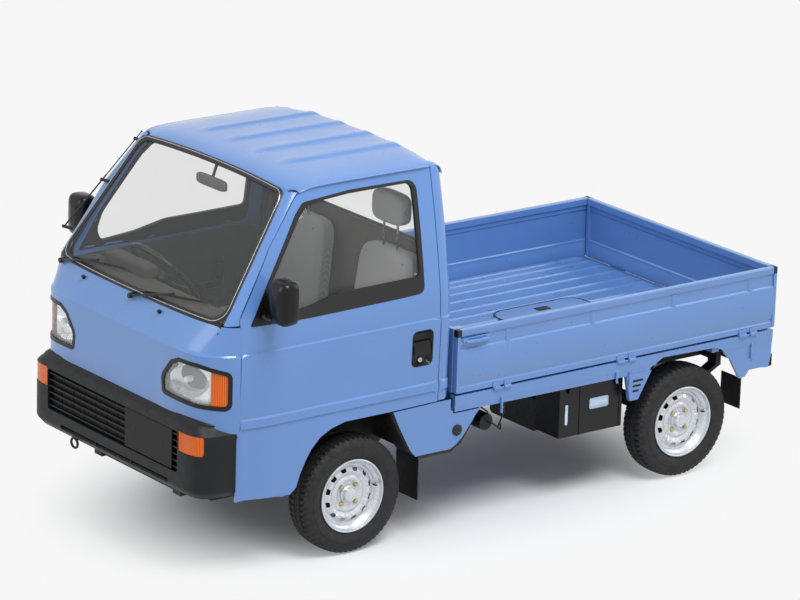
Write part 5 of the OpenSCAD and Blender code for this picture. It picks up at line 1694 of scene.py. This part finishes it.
def superellipsoid(name, low, high, mat, body, power=0.45, rows=18, around=40, shape=None, **rest):
    """A rounded pad that fills the box from low to high. shape may move its points."""
    centre = (Vector(low) + Vector(high)) / 2
    half = (Vector(high) - Vector(low)) / 2

    def soft(value):
        return abs(value) ** power * (1 if value >= 0 else -1)

    verts = []
    for i in range(rows + 1):
        lat = -pi / 2 + pi * i / rows
        for k in range(around):
            w = 2 * pi * k / around
            p = Vector((soft(cos(lat)) * soft(cos(w)), soft(cos(lat)) * soft(sin(w)), soft(sin(lat))))
            q = Vector((centre.x + p.x * half.x, centre.y + p.y * half.y, centre.z + p.z * half.z))
            verts.append(shape(q, p) if shape else q)
    faces = grid_faces(rows + 1, around, closed=True)
    obj = piece(name, verts, faces, mat, body, sharp=180, **rest)
    bm = bmesh.new()
    bm.from_mesh(obj.data)
    bmesh.ops.remove_doubles(bm, verts=bm.verts, dist=0.0001)
    bmesh.ops.recalc_face_normals(bm, faces=bm.faces)
    bm.to_mesh(obj.data)
    bm.free()
    return obj


def inflate(obj, cap, pressure=4.0):
    """Cloth simulation: the pad swells a little under pressure, and no point moves further than cap."""
    remesh = obj.modifiers.new("remesh", "REMESH")
    remesh.mode = "VOXEL"
    remesh.voxel_size = 0.006
    bake(obj)
    start = [v.co.copy() for v in obj.data.vertices]
    cloth = obj.modifiers.new("cloth", "CLOTH")
    cloth.settings.use_pressure = True
    cloth.settings.uniform_pressure_force = pressure
    cloth.settings.effector_weights.gravity = 0
    cloth.settings.quality = 4
    scene = bpy.context.scene
    for f in range(1, 21):
        scene.frame_set(f)
        bpy.context.view_layer.update()
    bake(obj)
    scene.frame_set(1)
    for v, s in zip(obj.data.vertices, start):
        move = v.co - s
        if move.length > cap:
            v.co = s + move.normalized() * cap
    obj.data.polygons.foreach_set("use_smooth", [True] * len(obj.data.polygons))
    sub = obj.modifiers.new("subdivision", "SUBSURF")
    sub.levels = sub.render_levels = 1


def bake(obj):
    deps = bpy.context.evaluated_depsgraph_get()
    mesh = bpy.data.meshes.new_from_object(obj.evaluated_get(deps))
    obj.modifiers.clear()
    obj.data = mesh


def build_seats():
    for side in (1, -1):
        name = SIDE_NAME[side]
        mid = side * 0.335

        def crowned(q, p):
            crown = 0.018 * (1 - p.x ** 2) * (1 if p.z > 0 else 0)
            bolster = 0.020 * ease((abs(p.x) - 0.55) / 0.35) * (1 if p.z > 0.2 else 0)
            return Vector((q.x, q.y, q.z + crown * 0.4 + bolster - 0.012))

        pad = superellipsoid(name + "_seat_cushion", (mid - 0.225, -0.893, 0.668),
                             (mid + 0.225, -0.446, 0.800), SEAT, "chassis", power=0.35, shape=crowned,
                             slot="seat_cloth", replaces="seat_cushions")
        inflate(pad, 0.010)

        def reclined(q, p):
            along = (q.z - 0.80) / 0.46
            return Vector((q.x * 1.0 + (mid - q.x) * 0.10 * max(along - 0.3, 0), q.y + 0.062 * along, q.z))

        back = superellipsoid(name + "_seat_back", (mid - 0.218, -0.462, 0.802),
                              (mid + 0.218, -0.372, 1.262), SEAT, "chassis", power=0.32, rows=22,
                              shape=reclined, slot="seat_cloth", replaces="seat_backs")
        inflate(back, 0.008)
        rest = superellipsoid(name + "_headrest_pad", (mid - 0.115, -0.4165, 1.373),
                              (mid + 0.115, -0.334, 1.517), SEAT, "chassis", power=0.5, slot="seat_cloth",
                              replaces="headrests")
        tubes(name + "_headrest_posts",
              [([(mid + dx, -0.376, 1.255), (mid + dx, -0.376, 1.40)], 0.0055, 10) for dx in (-0.05, 0.05)],
              STEEL, "chassis", slot="steel")
        # seams on the cushion and on the back
        seams = []
        for dx in (-0.135, 0.135):
            seams.append(([(mid + dx, y, 0.800) for y in (-0.86, -0.70, -0.50)], 0.003, 6))
            seams.append(([(mid + dx, -0.4645 + 0.062 * (z - 0.80) / 0.46, z) for z in (0.84, 1.0, 1.22)],
                          0.003, 6))
        tubes(name + "_seat_seams", seams, DARK_TRIM, "chassis", slot="grey_trim")
        # belt on the cab's side
        x = side * 0.605
        verts = []
        for y, z in ((-0.352, 1.46), (-0.350, 1.20), (-0.345, 0.95), (-0.345, 0.72)):
            verts += [(x - side * 0.002, y - 0.022, z), (x - side * 0.002, y + 0.022, z)]
        thick(piece(name + "_seat_belt", verts, grid_faces(4, 2), DARK_TRIM, "chassis", slot="grey_trim"),
              0.0015)
        box_piece(name + "_belt_anchor",
                  [((min(x, x - side * 0.012), -0.375, 1.44), (max(x, x - side * 0.012), -0.325, 1.49))],
                  BLACK, "chassis", bevel=0.004, slot="black_plastic")


def build_cab_fittings():
    superellipsoid("interior_mirror_head", (-0.112, -1.1235, 1.560), (0.112, -1.1005, 1.610), GREY_TRIM,
                   "chassis", power=0.4, rows=12, slot="black_plastic", replaces="interior_mirror")
    tubes("interior_mirror_stalk",
          [([(0, -1.108, 1.600), (0.002, -1.098, 1.635), (0.0, -1.085, 1.665)], 0.007, 10)], BLACK,
          "chassis", slot="black_plastic")
    for side in (1, -1):
        name = SIDE_NAME[side]
        a, b = sorted((side * 0.08, side * 0.50))
        box_piece(name + "_sun_visor", [((a, -1.080, 1.655), (b, -0.945, 1.668))], LINER, "chassis",
                  bevel=0.006, slot="grey_trim")
    # gear lever, hand brake and pedals
    tubes("gear_lever", [([(0.0, -1.02, 0.655), (0.0, -1.03, 0.80), (-0.01, -1.05, 0.93)], 0.008, 10),
                         ([(-0.01, -1.05, 0.925), (-0.012, -1.054, 0.965)], 0.021, 18),
                         dict(path=[(0.0, -1.02, 0.655), (0.0, -1.022, 0.70), (0.0, -1.025, 0.74)],
                              radius=0.05, sides=20, taper=lambda t: 1 - 0.75 * t)], BLACK, "chassis",
          slot="black_plastic")
    tubes("hand_brake", [([(-0.04, -0.92, 0.665), (-0.04, -0.80, 0.70), (-0.04, -0.70, 0.745)], 0.011, 12)],
          BLACK, "chassis", slot="black_plastic")
    runs = []
    cuboids = []
    for x in (-0.46, -0.35, -0.24):
        runs.append(([(x, -1.47, 0.72), (x, -1.42, 0.60), (x, -1.37, 0.50)], 0.007, 8))
        cuboids.append(((x - 0.03, -1.385, 0.455), (x + 0.03, -1.365, 0.515)))
    tubes("pedal_arms", runs, CHASSIS, "chassis", slot="black_metal")
    box_piece("pedal_pads", cuboids, RUBBER, "chassis", bevel=0.004, slot="black_plastic")


build_dashboard()
build_steering()
build_seats()
build_cab_fittings()

# ---- CAD nodes that stay, with a finish and softened edges -----------------------------------------

FINISHES = {
    "chassis_frame": CHASSIS, "bed_frame": BED_BLUE, "engine_block": CAST, "exhaust": CAST,
    "rear_axle": CHASSIS, "front_suspension": CHASSIS, "fuel_tank": CHASSIS, "rear_bumper": BUMPER,
    "mudflaps": RUBBER, "left_knuckle": CAST, "right_knuckle": CAST,
}
for node, finish in FINISHES.items():
    obj = NODES[node]
    obj.data.materials.clear()
    obj.data.materials.append(finish)
    weld = obj.modifiers.new("weld", "WELD")
    weld.merge_threshold = 0.0001
    bevelled(obj, 0.0025)


def build_cab_floor():
    """The CAD's floor pan, with the footwell's front corners drawn in behind the curved nose."""
    data = NODES["cab_floor"].data
    verts = [v.co.copy() for v in data.vertices]
    for v in verts:
        if abs(v.x) > 0.45 and v.y < -1.495 and v.z > 0.5:
            v.y = -1.495
    obj = piece("cab_floor_pan", verts, [tuple(f.vertices) for f in data.polygons], MAT, "chassis",
                slot="floor_mat", replaces="cab_floor")
    weld = obj.modifiers.new("weld", "WELD")
    weld.merge_threshold = 0.0001
    bevelled(obj, 0.0025)


build_cab_floor()

# ---- camera, light and floor ----------------------------------------------------------------------


def build_camera():
    data = bpy.data.cameras.new("camera")
    data.sensor_width = 36
    data.lens = 201.07
    data.clip_end = 100
    camera = bpy.data.objects.new("camera", data)
    bpy.context.scene.collection.objects.link(camera)
    place = Vector((15.42345, -11.87642, 6.89148))
    target = Vector((0, -0.0567, 0.87205))
    forward = (target - place).normalized()
    right = forward.cross(Vector((0, 0, 1))).normalized()
    up = right.cross(forward)
    roll = radians(1.744)
    right, up = right * cos(roll) + up * sin(roll), up * cos(roll) - right * sin(roll)
    camera.matrix_world = Matrix((
        (right.x, up.x, -forward.x, place.x), (right.y, up.y, -forward.y, place.y),
        (right.z, up.z, -forward.z, place.z), (0, 0, 0, 1)))
    bpy.context.scene.camera = camera


def build_floor():
    size = 60
    verts = [(-size, -size, 0), (size, -size, 0), (size, size, 0), (-size, size, 0)]
    mesh = bpy.data.meshes.new("floor")
    mesh.from_pydata(verts, [], [(0, 1, 2, 3)])
    floor = bpy.data.objects.new("floor", mesh)
    bpy.context.scene.collection.objects.link(floor)
    mat = bpy.data.materials.new("studio_floor")
    mat.use_nodes = True
    tree = mat.node_tree
    tree.nodes.clear()
    out = tree.nodes.new("ShaderNodeOutputMaterial")
    mix = tree.nodes.new("ShaderNodeMixShader")
    matte = tree.nodes.new("ShaderNodeBsdfDiffuse")
    matte.inputs["Color"].default_value = srgb(232, 233, 235)
    glow = tree.nodes.new("ShaderNodeEmission")
    glow.inputs["Color"].default_value = srgb(247, 247, 247)
    glow.inputs["Strength"].default_value = 1.0
    # the open floor shows as plain white; only near and under the object does it take the shadow
    place = tree.nodes.new("ShaderNodeTexCoord")
    span = tree.nodes.new("ShaderNodeVectorMath")
    span.operation = "MULTIPLY"
    span.inputs[1].default_value = (1 / 1.40, 1 / 2.10, 0)
    length = tree.nodes.new("ShaderNodeVectorMath")
    length.operation = "LENGTH"
    fade = tree.nodes.new("ShaderNodeMapRange")
    fade.interpolation_type = "SMOOTHSTEP"
    for i, v in enumerate((0.42, 0.95, 0.0, 1.0), 1):
        fade.inputs[i].default_value = v
    tree.links.new(place.outputs["Object"], span.inputs[0])
    tree.links.new(span.outputs[0], length.inputs[0])
    tree.links.new(length.outputs["Value"], fade.inputs[0])
    tree.links.new(fade.outputs[0], mix.inputs[0])
    tree.links.new(matte.outputs[0], mix.inputs[1])
    tree.links.new(glow.outputs[0], mix.inputs[2])
    tree.links.new(mix.outputs[0], out.inputs["Surface"])
    mesh.materials.append(mat)


def area_lamp(name, place, target, size, energy):
    data = bpy.data.lights.new(name, "AREA")
    data.shape = "SQUARE"
    data.size = size
    data.energy = energy
    lamp = bpy.data.objects.new(name, data)
    lamp.location = place
    lamp.rotation_euler = (Vector(target) - Vector(place)).to_track_quat("-Z", "Y").to_euler()
    bpy.context.scene.collection.objects.link(lamp)


def build_light():
    world = bpy.data.worlds.new("studio")
    bpy.context.scene.world = world
    world.use_nodes = True
    tree = world.node_tree
    tree.nodes.clear()
    out = tree.nodes.new("ShaderNodeOutputWorld")
    mix = tree.nodes.new("ShaderNodeMixShader")
    dim = tree.nodes.new("ShaderNodeBackground")
    dim.inputs["Color"].default_value = srgb(240, 243, 248)
    dim.inputs["Strength"].default_value = 0.62
    white = tree.nodes.new("ShaderNodeBackground")
    white.inputs["Color"].default_value = srgb(247, 247, 247)
    white.inputs["Strength"].default_value = 1.0
    path = tree.nodes.new("ShaderNodeLightPath")
    first = tree.nodes.new("ShaderNodeMath")
    first.operation = "MAXIMUM"
    second = tree.nodes.new("ShaderNodeMath")
    second.operation = "MAXIMUM"
    tree.links.new(path.outputs["Is Camera Ray"], first.inputs[0])
    tree.links.new(path.outputs["Is Glossy Ray"], first.inputs[1])
    tree.links.new(first.outputs[0], second.inputs[0])
    tree.links.new(path.outputs["Is Transmission Ray"], second.inputs[1])
    tree.links.new(second.outputs[0], mix.inputs[0])
    tree.links.new(dim.outputs[0], mix.inputs[1])
    tree.links.new(white.outputs[0], mix.inputs[2])
    tree.links.new(mix.outputs[0], out.inputs["Surface"])
    area_lamp("key", (4.5, -1.0, 8.0), (0, 0, 0.7), 4.0, 560)
    area_lamp("fill", (3.0, 7.0, 5.0), (0, 0, 0.8), 5.0, 120)
    area_lamp("front", (-3.0, -9.0, 4.0), (0, 0, 0.8), 5.0, 160)


build_camera()
build_floor()
build_light()
bpy.context.scene.view_settings.view_transform = "Standard"
